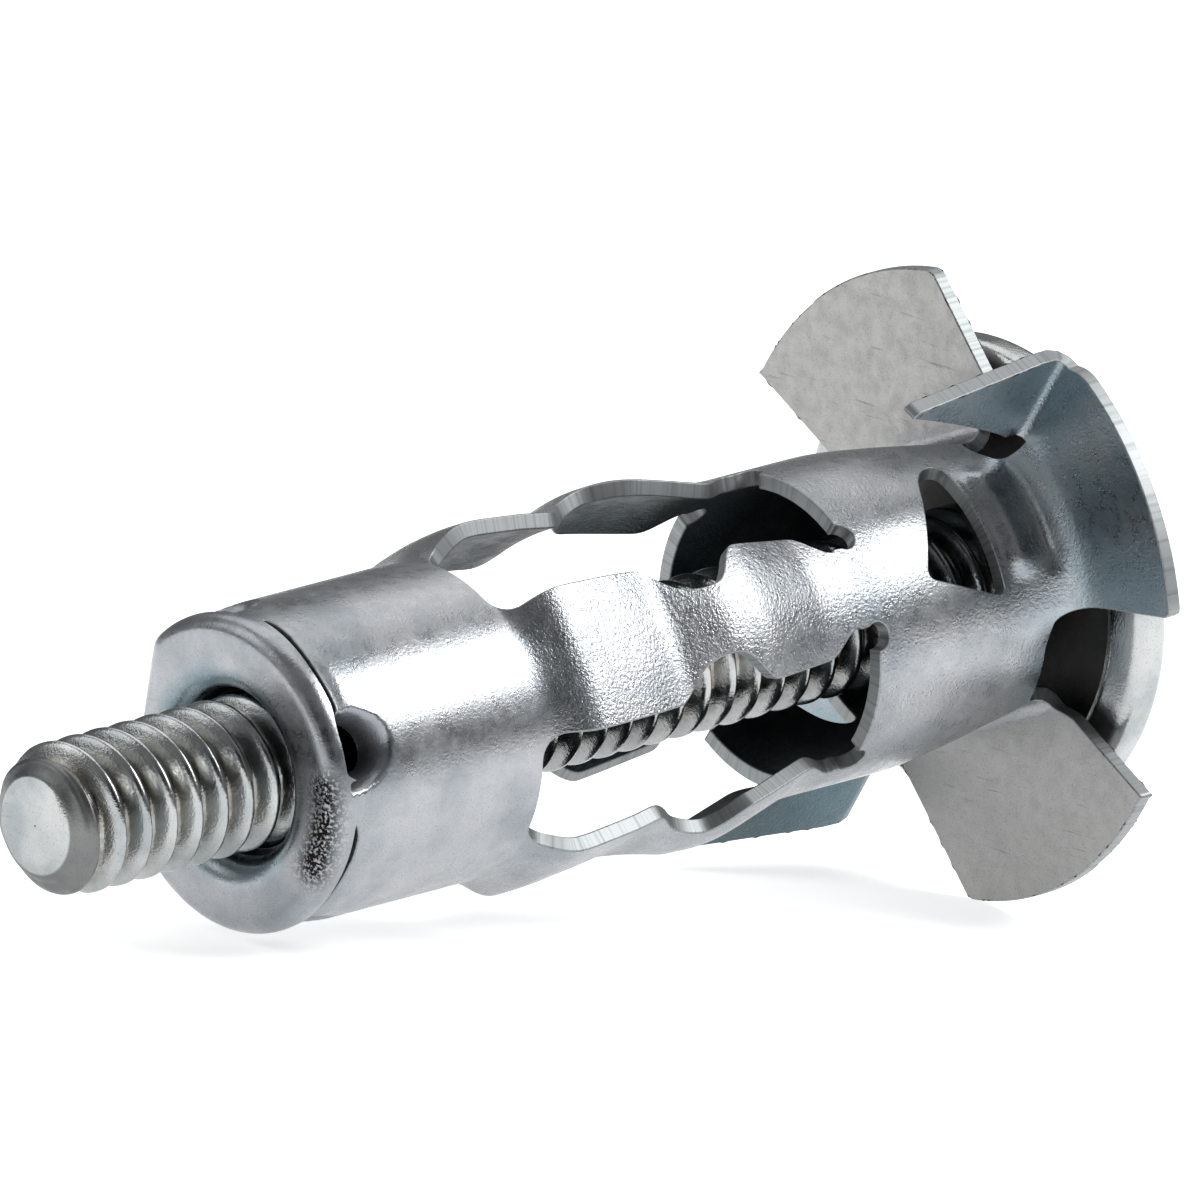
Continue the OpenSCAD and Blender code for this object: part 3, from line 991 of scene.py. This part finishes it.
    def build(self) -> bpy.types.Object:
        """Makes the sleeve's mesh from its patches.

        Returns:
            The sleeve, with its two faces and its sheared edges in separate material slots.
        """
        patches = [self.nose_patch(), self.cage_patch()]
        patches += [self.flat_wing_patch(90.0), self.flat_wing_patch(270.0)]
        patches += [self.claw_patch(0.0), self.claw_patch(180.0)]
        shell = thickened(patches, self.sheet * MM, self.edge_round * MM)
        piece = new_piece("sleeve_folded", shell.points, shell.faces, shell.normals)
        layer = piece.data.uv_layers.new(name="sheet")
        layer.data.foreach_set("uv", shell.uv.reshape(-1).astype(np.float32))
        piece.data.polygons.foreach_set("material_index", shell.marks)
        for kind, column in zip(Wear, shell.wear.T):
            add_values(piece, kind.value, column)
        LOG.info("sleeve: %d triangles", len(shell.faces))
        return piece


@dataclass
class Screw:
    """Truss-head machine screw with a rolled right-hand thread and a cropped tip."""

    axis: Axis
    major_r: float = 2.41
    minor_r: float = 1.80
    pitch: float = 1.058
    tip: float = -7.8
    # Radius of the cropped tip at depths behind its face
    tip_outline: tuple[tuple[float, float], ...] = ((0.0, 1.5), (0.3, 2.02), (1.05, 2.45), (40.0, 30.0))
    head_low: float = 31.2
    head_r: float = 7.62
    step_r: float = 6.16
    rim_h: float = 0.85
    dome_h: float = 2.13
    recess_span: float = 2.1
    recess_w: float = 0.5
    recess_depth: float = 2.0

    def thread_depth(self, angle: np.ndarray, z: np.ndarray) -> np.ndarray:
        """Share of the thread's depth, 0 on the crest and 1 at the root.

        A point's phase is the fraction of a pitch from the nearest crest, where a crest runs along
        z + pitch * angle / 360 = constant. The flank is straight between a rounded crest and root.
        """
        phase = (z + self.pitch * angle / 360.0) / self.pitch
        away = 2.0 * np.abs(phase - np.round(phase))
        ramp = np.clip((away - 0.13) / 0.65, 0.0, 1.0)
        return 0.7 * ramp + 0.3 * smooth_step(ramp)

    def shank(self) -> tuple[np.ndarray, np.ndarray, np.ndarray]:
        """Thread as a grid of heights by angles, cut by the cropped tip's cone, with a cap on the tip.

        Returns:
            Points, quads and the thread's depth at each point.
        """
        rise = self.major_r - self.minor_r
        z = np.concatenate([[self.tip], np.arange(self.tip + 0.03, self.head_low + 0.3, self.pitch / 16)])
        columns = 80
        angle = np.arange(columns) * 360.0 / columns
        zz, aa = np.meshgrid(z, angle, indexing="ij")
        depth = self.thread_depth(aa, zz)
        fade = smooth_step((zz - (self.head_low - 1.2)) / 0.9)
        depth = depth * (1 - fade)
        cone = np.interp(zz - self.tip, *np.array(self.tip_outline).T)
        cone = cone + 0.025 * np.sin((zz - self.tip) * 2 * math.pi / 0.22)
        r = self.major_r - rise * depth
        cut = 0.5 * (r + cone - np.sqrt((r - cone) ** 2 + 0.04**2))
        r = np.where(cone < self.major_r + 0.3, cut, r)
        depth = np.clip((self.major_r - r) / rise, 0, 1) * (zz > self.tip + 0.6)
        sides = self.axis.place(r, aa, zz).reshape(-1, 3)
        rings = np.array([0.93, 0.8, 0.6, 0.4, 0.2, 0.02])
        rr, ca = np.meshgrid(rings * float(r[0, 0]), angle, indexing="ij")
        shear = 0.05 * np.sin(np.radians(ca) - 0.6) * rr / rings[0] - 0.02
        bumps = 0.02 * np.sin(3.1 * rr * np.cos(np.radians(ca)) + 1.0) * np.cos(2.3 * rr * np.sin(np.radians(ca)))
        cap = self.axis.place(rr, ca, self.tip + shear + bumps).reshape(-1, 3)
        points = np.concatenate([sides, cap])
        rows = len(z)
        quads = grid_faces(rows, columns, True)[:, ::-1]
        first = np.arange(columns)
        ends = [first] + [rows * columns + k * columns + first for k in range(len(rings))]
        cap_quads = [np.stack([p, np.roll(p, -1), np.roll(q, -1), q], 1) for p, q in zip(ends[:-1], ends[1:])]
        values = np.concatenate([depth.reshape(-1), np.full(len(cap), 0.25)])
        return points, np.concatenate([quads] + cap_quads), values

    def head_outline(self) -> np.ndarray:
        """Outline of the head as (radius, height over its underside), from the shank to the dome's top."""
        rim = self.rim_h
        under = np.array([[self.major_r - 0.1, 0.42], [3.1, 0.42], [3.6, 0.42]])
        edge = arc_points((self.head_r - 0.42, 0.42), 0.42, 270, 360, 8)
        top = arc_points((self.head_r - 0.4, rim + 0.02), 0.4, 0, 62, 6)
        r = np.linspace(top[-1, 0], self.recess_span + 0.35, 26)[1:]
        base = top[-1, 1]
        u = r / top[-1, 0]
        dome = np.stack([r, base + (rim + self.dome_h - base) * (1 - u**2) ** 0.9], 1)
        ring = np.array([[self.step_r - 0.5, 0.42], [self.step_r - 0.12, 0.38]])
        lip = np.array([[self.step_r, 0.02]])
        return np.concatenate([under, ring, lip, edge, top, dome])

    def head(self) -> tuple[np.ndarray, np.ndarray]:
        """Head as its outline turned round the axis.

        Returns:
            Points and quads.
        """
        outline = densified(self.head_outline(), 0.3)
        columns = 144
        angle = np.arange(columns) * 360.0 / columns
        rr, aa = np.meshgrid(outline[:, 0], angle, indexing="ij")
        zz = np.repeat(outline[:, 1][:, None], columns, 1) + self.head_low
        return self.axis.place(rr, aa, zz).reshape(-1, 3), grid_faces(len(outline), columns, True)

    def crown(self) -> tuple[np.ndarray, np.ndarray]:
        """Middle of the dome with its cross recess: a flat disc, triangulated round the cross, then raised.

        The cross's walls run down to a smaller cross, and its floor to a point.

        Returns:
            Points and triangles.
        """
        s, w, reach = self.recess_span, self.recess_w, self.recess_span + 0.35
        quarter = [(w, w, 0.12), (s, w, 0.1), (s, -w, 0.1)]
        corners = []
        for t in (0, 270, 180, 90):
            c, d = math.cos(math.radians(t)), math.sin(math.radians(t))
            corners += [(x * c - y * d, x * d + y * c, cut) for x, y, cut in quarter]
        cross = densified(rounded(corners, 4), 0.12, closed=True)
        ring = arc_points((0, 0), reach, 0, 360, 144)[:-1]
        patch = SheetPatch([ring, cross], lambda p: p, 0.16, lambda p: p, lambda p: p)
        flat, tris = patch.triangles()
        outline = self.head_outline()
        top = self.rim_h + self.dome_h
        dome_r, dome_z = outline[::-1][:26].T

        def lifted(p: np.ndarray, drop: float) -> np.ndarray:
            """Carries flat points onto the dome, lowered by a drop."""
            r = np.hypot(p[:, 0], p[:, 1])
            edge_r, edge_z = outline[-1]
            outer = np.interp(r, dome_r, dome_z, left=top)
            z = np.where(r < edge_r, edge_z + (top - edge_z) * (1 - (r / edge_r) ** 2), outer)
            return self.axis.place(r, np.degrees(np.arctan2(p[:, 1], p[:, 0])), self.head_low + z - drop)

        floor = cross * 0.42
        deep = self.recess_depth
        points = [lifted(flat, 0.0), lifted(cross, 0.0), lifted(cross * 0.9, 0.25), lifted(floor, deep),
                  lifted(floor * 0.05, deep + 0.2)]
        start, n, faces = len(flat), len(cross), [tris[:, ::-1]]
        i = np.arange(n)
        for k in range(3):
            a, b = start + k * n, start + (k + 1) * n
            faces.append(np.stack([a + i, a + (i + 1) % n, b + (i + 1) % n], 1))
            faces.append(np.stack([a + i, b + (i + 1) % n, b + i], 1))
        return np.concatenate(points), np.concatenate(faces)

    def build(self) -> bpy.types.Object:
        """Makes the screw's mesh from its shank, head and crown.

        Returns:
            The screw.
        """
        shank, shank_faces, depth = self.shank()
        head, head_faces = self.head()
        crown, crown_faces = self.crown()
        faces = shank_faces.tolist() + (head_faces + len(shank)).tolist()
        faces += (crown_faces + len(shank) + len(head)).tolist()
        points = np.concatenate([shank, head, crown])
        piece = new_piece("screw_threaded", points, faces)
        add_values(piece, "depth", np.concatenate([depth, np.zeros(len(head) + len(crown))]))
        local = points @ self.axis.along - self.axis.origin @ self.axis.along
        out = np.linalg.norm(points - self.axis.origin - local[:, None] * self.axis.along, axis=1)
        # Painted shade: the colour darkens in the recess under the head's rim and on the tip's chamfer.
        under = np.abs(local - (self.head_low + 0.35) * MM) < 0.15 * MM
        under &= out < (self.step_r + 0.1) * MM
        behind = local / MM - self.tip
        face_r = self.tip_outline[0][1] + 0.02
        chamfer = 0.7 * (1.0 - smooth_step((behind - 0.6) / 0.5)) * (out > face_r * MM)
        add_values(piece, Wear.PAINTED_SHADE.value, np.maximum(under, chamfer))
        LOG.info("screw: %d faces", len(faces))
        return piece


@dataclass
class Nut:
    """Round nut in the nose: a small front collar, a groove that takes the lances, and a full-width back."""

    axis: Axis
    bore_r: float = 2.46
    chamfer_r: float = 2.95
    collar_r: float = 3.5
    groove_r: float = 3.3
    outer_r: float = 4.46
    heights: tuple = (0.6, 0.95, 1.1, 2.95, 3.1, 4.0)
    columns: int = 96

    def build(self) -> bpy.types.Object:
        """Turns the nut's closed outline round the axis.

        Returns:
            The nut.
        """
        front, collar, groove, shoulder, back, end = self.heights
        corners = [
            (self.bore_r, end, 0.05), (self.bore_r, front + self.chamfer_r - self.bore_r, 0.05),
            (self.chamfer_r, front, 0.05), (self.collar_r, front, 0.1), (self.collar_r, collar, 0.05),
            (self.groove_r, groove, 0.05), (self.groove_r, shoulder, 0.05), (self.outer_r, back, 0.1),
            (self.outer_r, end, 0.15),
        ]
        outline = densified(rounded(corners, 3), 0.4, closed=True)
        outline = np.concatenate([outline, outline[:1]])
        angle = np.arange(self.columns) * 360.0 / self.columns
        rr, aa = np.meshgrid(outline[:-1, 0], angle, indexing="ij")
        zz = np.repeat(outline[:-1, 1][:, None], self.columns, 1)
        rows = len(outline) - 1
        quads = grid_faces(rows + 1, self.columns, True) % (rows * self.columns)
        piece = new_piece("nut_turned", self.axis.place(rr, aa, zz).reshape(-1, 3), quads)
        LOG.info("nut: %d faces", len(quads))
        return piece


# ---------------------------------------------------------------- finishes


def linear(code: str) -> tuple[float, float, float, float]:
    """Turns an sRGB hex colour into linear RGBA.

    Args:
        code: Six hex digits with a leading hash.

    Returns:
        The linear colour with alpha 1.
    """
    c = np.array([int(code[i:i + 2], 16) for i in (1, 3, 5)]) / 255.0
    low = c / 12.92
    high = ((c + 0.055) / 1.055) ** 2.4
    return (*np.where(c <= 0.04045, low, high).tolist(), 1.0)


def add_node(
    tree: bpy.types.NodeTree, kind: str, settings: dict | None = None, links: dict | None = None
) -> bpy.types.Node:
    """Adds a node with its settings and links.

    Args:
        tree: The material's node tree.
        kind: The node's type.
        settings: Socket values by socket name or number, and other settings by their attribute's name.
        links: Output sockets by the name or number of the input that they feed.

    Returns:
        The node.
    """
    node = tree.nodes.new(kind)
    for key, value in (settings or {}).items():
        if isinstance(key, int) or key in node.inputs:
            node.inputs[key].default_value = value
        else:
            setattr(node, key, value)
    for key, source in (links or {}).items():
        tree.links.new(source, node.inputs[key])
    return node


@dataclass(frozen=True)
class ZincPlate:
    """Bright zinc plate over rolled steel.

    A grey metal with faint blue and straw tints. The blue on the nose's curled mouth is painted shade, and the
    straw in the thread's roots is partly painted shade. Fine orange peel breaks its highlights into sparks, more
    so where the sheet was strained; where it was drawn flat it is matt and pitted, and where it was crimped it is
    scored down to dark oxide. Recesses that a piece marks are darkened towards the oxide colour as painted shade.
    """

    name: str
    bright: str = "#A8AAAD"
    tint: str = "#91969B"
    matt: str = "#A9A8A6"
    oxide: str = "#1E1A17"
    rough: float = 0.24
    rough_spread: float = 0.14
    peel_mm: float = 0.105
    peel_high: float = 0.026
    spark_mm: float = 0.045
    scratch_mm: float = 0.16
    # Directions of the fine scratches, as rotations in radians
    scratch_turns: tuple[tuple[float, float, float], ...] = ((0.3, 0.5, 0.4), (1.2, 0.2, 1.9), (0.4, 2.0, 1.1))
    # Blue tint: painted shade on the nose's curled mouth, a plain tint elsewhere.
    blue: str = "#7E9FAA"
    # Yellow-brown of the thread's roots, darker than the plate: partly a tint and partly painted shade.
    root: str = "#6A6252"

    def make(self) -> bpy.types.Material:
        """Builds the material on Object coordinates, scaled to millimetres.

        Returns:
            The material.
        """
        mat = bpy.data.materials.new(self.name)
        mat.use_nodes = True
        t = mat.node_tree
        t.nodes.clear()
        place = add_node(t, "ShaderNodeTexCoord")
        to_mm = add_node(t, "ShaderNodeMapping", {"Scale": (1 / MM,) * 3}, {"Vector": place.outputs["Object"]})
        at = to_mm.outputs[0]
        kind = {k: add_node(t, "ShaderNodeAttribute", {"attribute_name": k.value}).outputs["Fac"] for k in Wear}
        depth = add_node(t, "ShaderNodeAttribute", {"attribute_name": "depth"}).outputs["Fac"]
        drawn = [add_node(t, "ShaderNodeMapping", {"Scale": (1.0, 0.07, 1.0), "Rotation": turn}, {"Vector": at})
                 .outputs[0] for turn in self.scratch_turns]
        # Noises, as (name, size in millimetres, detail, coordinates)
        grain = {}
        for name, size, detail, source in (
            ("clouds", 2.6, 3.0, at), ("haze", 0.5, 3.0, at), ("peel", self.peel_mm, 2.0, at),
            ("sparks", self.spark_mm, 1.0, at),
            *((f"line_{i}", self.scratch_mm, 2.0, source) for i, source in enumerate(drawn)),
        ):
            spread = {"Scale": 1 / size, "Detail": detail, "Roughness": 0.6}
            grain[name] = add_node(t, "ShaderNodeTexNoise", spread, {"Vector": source}).outputs["Fac"]
        # Straight ramps, as (name, source, low, high, value at low, value at high)
        share = {}
        for name, source, low, high, first, last in (
            ("tinted", grain["clouds"], 0.4, 0.66, 0.0, 1.0),
            ("blued", grain["clouds"], 0.3, 0.6, 0.25, 0.6),
            ("scuffed", kind[Wear.MATT], 0.0, 1.0, 0.1, 0.3),
            ("specked", grain["sparks"], 0.60, 0.70, 0.0, 1.0),
            ("strained", kind[Wear.STRAINED], 0.0, 1.0, 0.3, 0.5),
            ("scored", grain["peel"], 0.40, 0.52, 0.0, 1.0),
            ("deep", depth, 0.25, 0.95, 0.0, 1.0),
            ("stained", grain["haze"], 0.3, 0.6, 0.2, 0.75),
            ("rough", grain["haze"], 0.35, 0.7, self.rough, self.rough + self.rough_spread),
            ("strength", kind[Wear.STRAINED], 0.0, 1.0, 0.32, 1.0),
            *((f"line_{i}", grain[f"line_{i}"], 0.68, 0.76, 0.0, 1.0) for i in range(len(drawn))),
        ):
            span = {"From Min": low, "From Max": high, "To Min": first, "To Max": last}
            share[name] = add_node(t, "ShaderNodeMapRange", span, {"Value": source}).outputs["Result"]
        tone = add_node(t, "ShaderNodeMix", {"data_type": "RGBA", 6: linear(self.bright), 7: linear(self.tint)},
                        {0: share["tinted"]}).outputs[2]
        # Layers of colour from the plate up, as (name, first factor of its share, second factor, colour)
        cover = {}
        for name, one, other, colour in (
            ("matt", kind[Wear.MATT], 0.9, self.matt),
            *((f"line_{i}", share[f"line_{i}"], share["scuffed"], self.oxide) for i in range(len(drawn))),
            # Blue: painted shade on the mouth's curl, a plain tint elsewhere.
            ("blued", kind[Wear.BLUE_TINT_AND_SHADE], share["blued"], self.blue),
            ("specks", share["specked"], share["strained"], self.oxide),
            ("scars", share["scored"], kind[Wear.SCORED], self.oxide),
            # Painted shade: the recesses that a piece marks are darkened towards the oxide colour.
            ("dull", kind[Wear.PAINTED_SHADE], 0.85, self.oxide),
            # Roots: partly a yellow tint, partly painted shade in the thread's roots.
            ("roots", share["deep"], share["stained"], self.root),
        ):
            fixed = isinstance(other, float)
            cover[name] = add_node(t, "ShaderNodeMath", {"operation": "MULTIPLY", **({1: other} if fixed else {})},
                                   {0: one, **({} if fixed else {1: other})}).outputs[0]
            tone = add_node(t, "ShaderNodeMix", {"data_type": "RGBA", 7: linear(colour)},
                            {0: cover[name], 6: tone}).outputs[2]
        marred = add_node(t, "ShaderNodeMath", {"operation": "ADD"}, {0: cover["scars"], 1: kind[Wear.PAINTED_SHADE]})
        # What roughens the plate or stands on it, as (total, operation, source, weight)
        total = {"rough": share["rough"], "height": grain["peel"]}
        for name, operation, source, weight in (
            ("rough", "ADD", kind[Wear.MATT], 0.2), ("rough", "ADD", marred.outputs[0], 0.3),
            ("height", "ADD", grain["sparks"], 0.35), ("height", "SUBTRACT", cover["scars"], 2.0),
        ):
            part = add_node(t, "ShaderNodeMath", {"operation": "MULTIPLY", 1: weight}, {0: source})
            total[name] = add_node(t, "ShaderNodeMath", {"operation": operation},
                                   {0: total[name], 1: part.outputs[0]}).outputs[0]
        bump = add_node(t, "ShaderNodeBump", {"Distance": self.peel_high * MM},
                        {"Height": total["height"], "Strength": share["strength"]})
        metal = add_node(t, "ShaderNodeBsdfPrincipled", {"Metallic": 1.0},
                         {"Base Color": tone, "Roughness": total["rough"], "Normal": bump.outputs["Normal"]})
        add_node(t, "ShaderNodeOutputMaterial", {}, {"Surface": metal.outputs["BSDF"]})
        return mat


@dataclass(frozen=True)
class ShearedEdge:
    """Edge of steel sheet left by the shear: bright, with fine lines torn across its thickness."""

    name: str
    bright: str = "#999C9D"
    dark: str = "#828788"
    line_mm: float = 0.12
    line_high: float = 0.004
    rough: float = 0.5

    def make(self) -> bpy.types.Material:
        """Builds the material on the sheet's own map, which doesn't change across the edge.

        Returns:
            The material.
        """
        mat = bpy.data.materials.new(self.name)
        mat.use_nodes = True
        t = mat.node_tree
        t.nodes.clear()
        flat = add_node(t, "ShaderNodeUVMap", {"uv_map": "sheet"}).outputs["UV"]
        lines = add_node(t, "ShaderNodeTexNoise", {"Scale": 1 / self.line_mm, "Detail": 2.0, "Roughness": 0.6},
                         {"Vector": flat}).outputs["Fac"]
        share = add_node(t, "ShaderNodeMapRange", {"From Min": 0.48, "From Max": 0.66}, {"Value": lines})
        tone = add_node(t, "ShaderNodeMix", {"data_type": "RGBA", 6: linear(self.bright), 7: linear(self.dark)},
                        {0: share.outputs["Result"]})
        bump = add_node(t, "ShaderNodeBump", {"Distance": self.line_high * MM}, {"Height": lines})
        metal = add_node(t, "ShaderNodeBsdfPrincipled", {"Metallic": 1.0, "Roughness": self.rough},
                         {"Base Color": tone.outputs[2], "Normal": bump.outputs["Normal"]})
        add_node(t, "ShaderNodeOutputMaterial", {}, {"Surface": metal.outputs["BSDF"]})
        return mat


@dataclass(frozen=True)
class StageCoat:
    """Even surface of the stage: lit acrylic reads as a white floor, and black felt as darkness in the metal."""

    name: str
    colour: str
    rough: float
    glow: str = "#FFFFFF"
    glow_strength: float = 0.0

    def make(self) -> bpy.types.Material:
        """Builds the material, which has no pattern."""
        mat = bpy.data.materials.new(self.name)
        mat.use_nodes = True
        shader = mat.node_tree.nodes["Principled BSDF"]
        shader.inputs["Base Color"].default_value = linear(self.colour)
        shader.inputs["Roughness"].default_value = self.rough
        shader.inputs["Emission Color"].default_value = linear(self.glow)
        shader.inputs["Emission Strength"].default_value = self.glow_strength
        return mat


# ---------------------------------------------------------------- stage


@dataclass
class Studio:
    """Pale floor, soft lights and a long lens.

    Attributes:
        axis: The anchor's axis.
        floor_height: Height of the floor in metres.
        tilt: Angle by which the lens looks along the axis, in degrees.
        roll: Turn of the axis in the picture, in degrees.
        px_per_mm: Scale of the picture.
        nose_px: Where the middle of the nose's front face lies in the picture.
        picture_px: Side of the picture.
        distance: Distance of the lens in metres.
        focus_mm: Length along the axis that lies at that distance.
        floor_half: Half the floor's side in metres.
        sensor_mm: Width of the lens's sensor.
    """

    axis: Axis
    floor_height: float
    tilt: float = 49.14
    roll: float = 14.725
    px_per_mm: float = 32.73
    nose_px: tuple[float, float] = (224.35, 775.92)
    picture_px: float = 1200.0
    distance: float = 3.0
    focus_mm: float = 13.0
    floor_half: float = 1.5
    sensor_mm: float = 36.0

    def facing(self) -> tuple[np.ndarray, np.ndarray, np.ndarray]:
        """Picture's right, up and the direction towards the camera, as unit vectors."""
        t, r = math.radians(self.tilt), math.radians(self.roll)
        run = math.sin(t) * self.axis.along + math.cos(t) * self.axis.side
        right = math.cos(r) * run - math.sin(r) * self.axis.up
        up = math.sin(r) * run + math.cos(r) * self.axis.up
        back = -math.cos(t) * self.axis.along + math.sin(t) * self.axis.side
        return right, up, back

    def camera(self) -> None:
        """Long lens whose frame holds the same millimetres as the picture's side at the anchor's middle."""
        right, up, back = self.facing()
        half = self.picture_px / 2
        dx, dy = (half - self.nose_px[0]) / self.px_per_mm, (self.nose_px[1] - half) / self.px_per_mm
        target = self.axis.origin + MM * (dx * right + dy * up)
        depth = -math.cos(math.radians(self.tilt)) * self.focus_mm * MM
        eye = target + back * (self.distance + depth)
        data = bpy.data.cameras.new("long_lens")
        data.sensor_width = self.sensor_mm
        data.lens = self.sensor_mm * self.distance / (self.picture_px / self.px_per_mm * MM)
        data.clip_start, data.clip_end = 0.01, 20.0
        lens = bpy.data.objects.new("long_lens", data)
        matrix = np.eye(4)
        matrix[:3, 0], matrix[:3, 1], matrix[:3, 2], matrix[:3, 3] = right, up, back, eye
        lens.matrix_world = Matrix(matrix.tolist())
        bpy.context.scene.collection.objects.link(lens)
        bpy.context.scene.camera = lens

    def floor(self) -> None:
        """Plain pale board, lit from within, that the anchor's lowest points touch."""
        s, z = self.floor_half, self.floor_height
        piece = new_piece("floor", np.array([[-s, -s, z], [s, -s, z], [s, s, z], [-s, s, z]]), [[0, 1, 2, 3]])
        piece.data.materials.append(StageCoat("lit_white_acrylic", "#F2F3F4", 0.9, "#F4F4F4", 0.75).make())
        piece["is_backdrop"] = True

    def flag(self, name: str, away: float, size: float) -> None:
        """Black card round the lens, which keeps the metal's faces towards it dark.

        Args:
            name: The card's name.
            away: Its distance from the anchor's middle in metres.
            size: Its side in metres.
        """
        right, up, back = self.facing()
        at = self.axis.origin + 12 * MM * self.axis.along + away * back
        corners = [at + size / 2 * (x * right + y * up) for x, y in ((-1, -1), (1, -1), (1, 1), (-1, 1))]
        card = new_piece(name, np.array(corners), [[0, 1, 2, 3]])
        card.data.materials.append(StageCoat("black_felt", "#0A0A0A", 0.95).make())
        card.visible_camera = False
        card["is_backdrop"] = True

    def light(
        self, name: str, right: float, up: float, back: float, away: float, size: float, watts: float
    ) -> None:
        """Square softbox that looks at the anchor from a direction given in the picture's own axes.

        Args:
            name: The light's name.
            right: Share of the picture's right in its direction.
            up: Share of the picture's up.
            back: Share of the direction towards the lens.
            away: Its distance from the anchor's middle in metres.
            size: Its side in metres.
            watts: Its power.
        """
        r, u, b = self.facing()
        out = right * r + up * u + back * b
        out /= np.linalg.norm(out)
        data = bpy.data.lights.new(name, "AREA")
        data.shape, data.size, data.energy = "SQUARE", size, watts
        lamp = bpy.data.objects.new(name, data)
        at = self.axis.origin + 15 * MM * self.axis.along
        lamp.location = at + away * out
        lamp.rotation_mode = "QUATERNION"
        lamp.rotation_quaternion = Vector(out).to_track_quat("Z", "Y")
        lamp.visible_camera = False
        bpy.context.scene.collection.objects.link(lamp)

    def build(self) -> None:
        """Sets the camera, the floor, three softboxes and a pale room."""
        self.camera()
        self.floor()
        self.light("key_softbox", 0.81, 0.58, 0.08, 0.35, 0.17, 0.8)
        self.light("fill_softbox", -0.75, 0.62, 0.2, 0.5, 0.3, 0.38)
        self.light("top_softbox", 0.0, 0.98, -0.2, 0.5, 0.5, 1.0)
        self.flag("lens_flag", 0.32, 0.26)
        world = bpy.data.worlds.new("pale_room")
        world.use_nodes = True
        sky = world.node_tree.nodes["Background"]
        sky.inputs["Color"].default_value = linear("#E0E1E3")
        sky.inputs["Strength"].default_value = 0.3
        bpy.context.scene.world = world
        bpy.context.scene.view_settings.view_transform = "Standard"


def main() -> None:
    logging.basicConfig(level=logging.INFO, format="%(message)s")
    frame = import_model()
    cad_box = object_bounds()
    axis = Axis.from_record(frame["record"])
    Studio(axis, cad_box[0][2]).build()
    sleeve = Sleeve(axis).build()
    finishes = {
        Face.OUTER: ZincPlate("zinc_plated_sheet"),
        # Painted shade: the inner face gets dark colours that stand for the shade inside the cage.
        Face.INNER: ZincPlate("zinc_plated_sheet_inside", bright="#4C5658", tint="#323D42", rough=0.34),
        Face.EDGE: ShearedEdge("sheared_steel_edge"),
    }
    for face in Face:
        sleeve.data.materials.append(finishes[face].make())
    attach(sleeve, "anchor")
    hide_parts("sleeve")
    screw = Screw(axis).build()
    rolled = ZincPlate("zinc_plated_screw", bright="#B8BAB9", tint="#989D9F", rough=0.13, peel_high=0.03)
    screw.data.materials.append(rolled.make())
    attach(screw, "machine_screw")
    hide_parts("screw")
    nut = Nut(axis).build()
    # Painted shade: the nut gets dark colours that stand for the shade inside the nose.
    nut.data.materials.append(ZincPlate("zinc_plated_nut", bright="#4A5254", tint="#333C40").make())
    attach(nut, "anchor")
    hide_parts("nut")


if __name__ == "__main__":
    main()
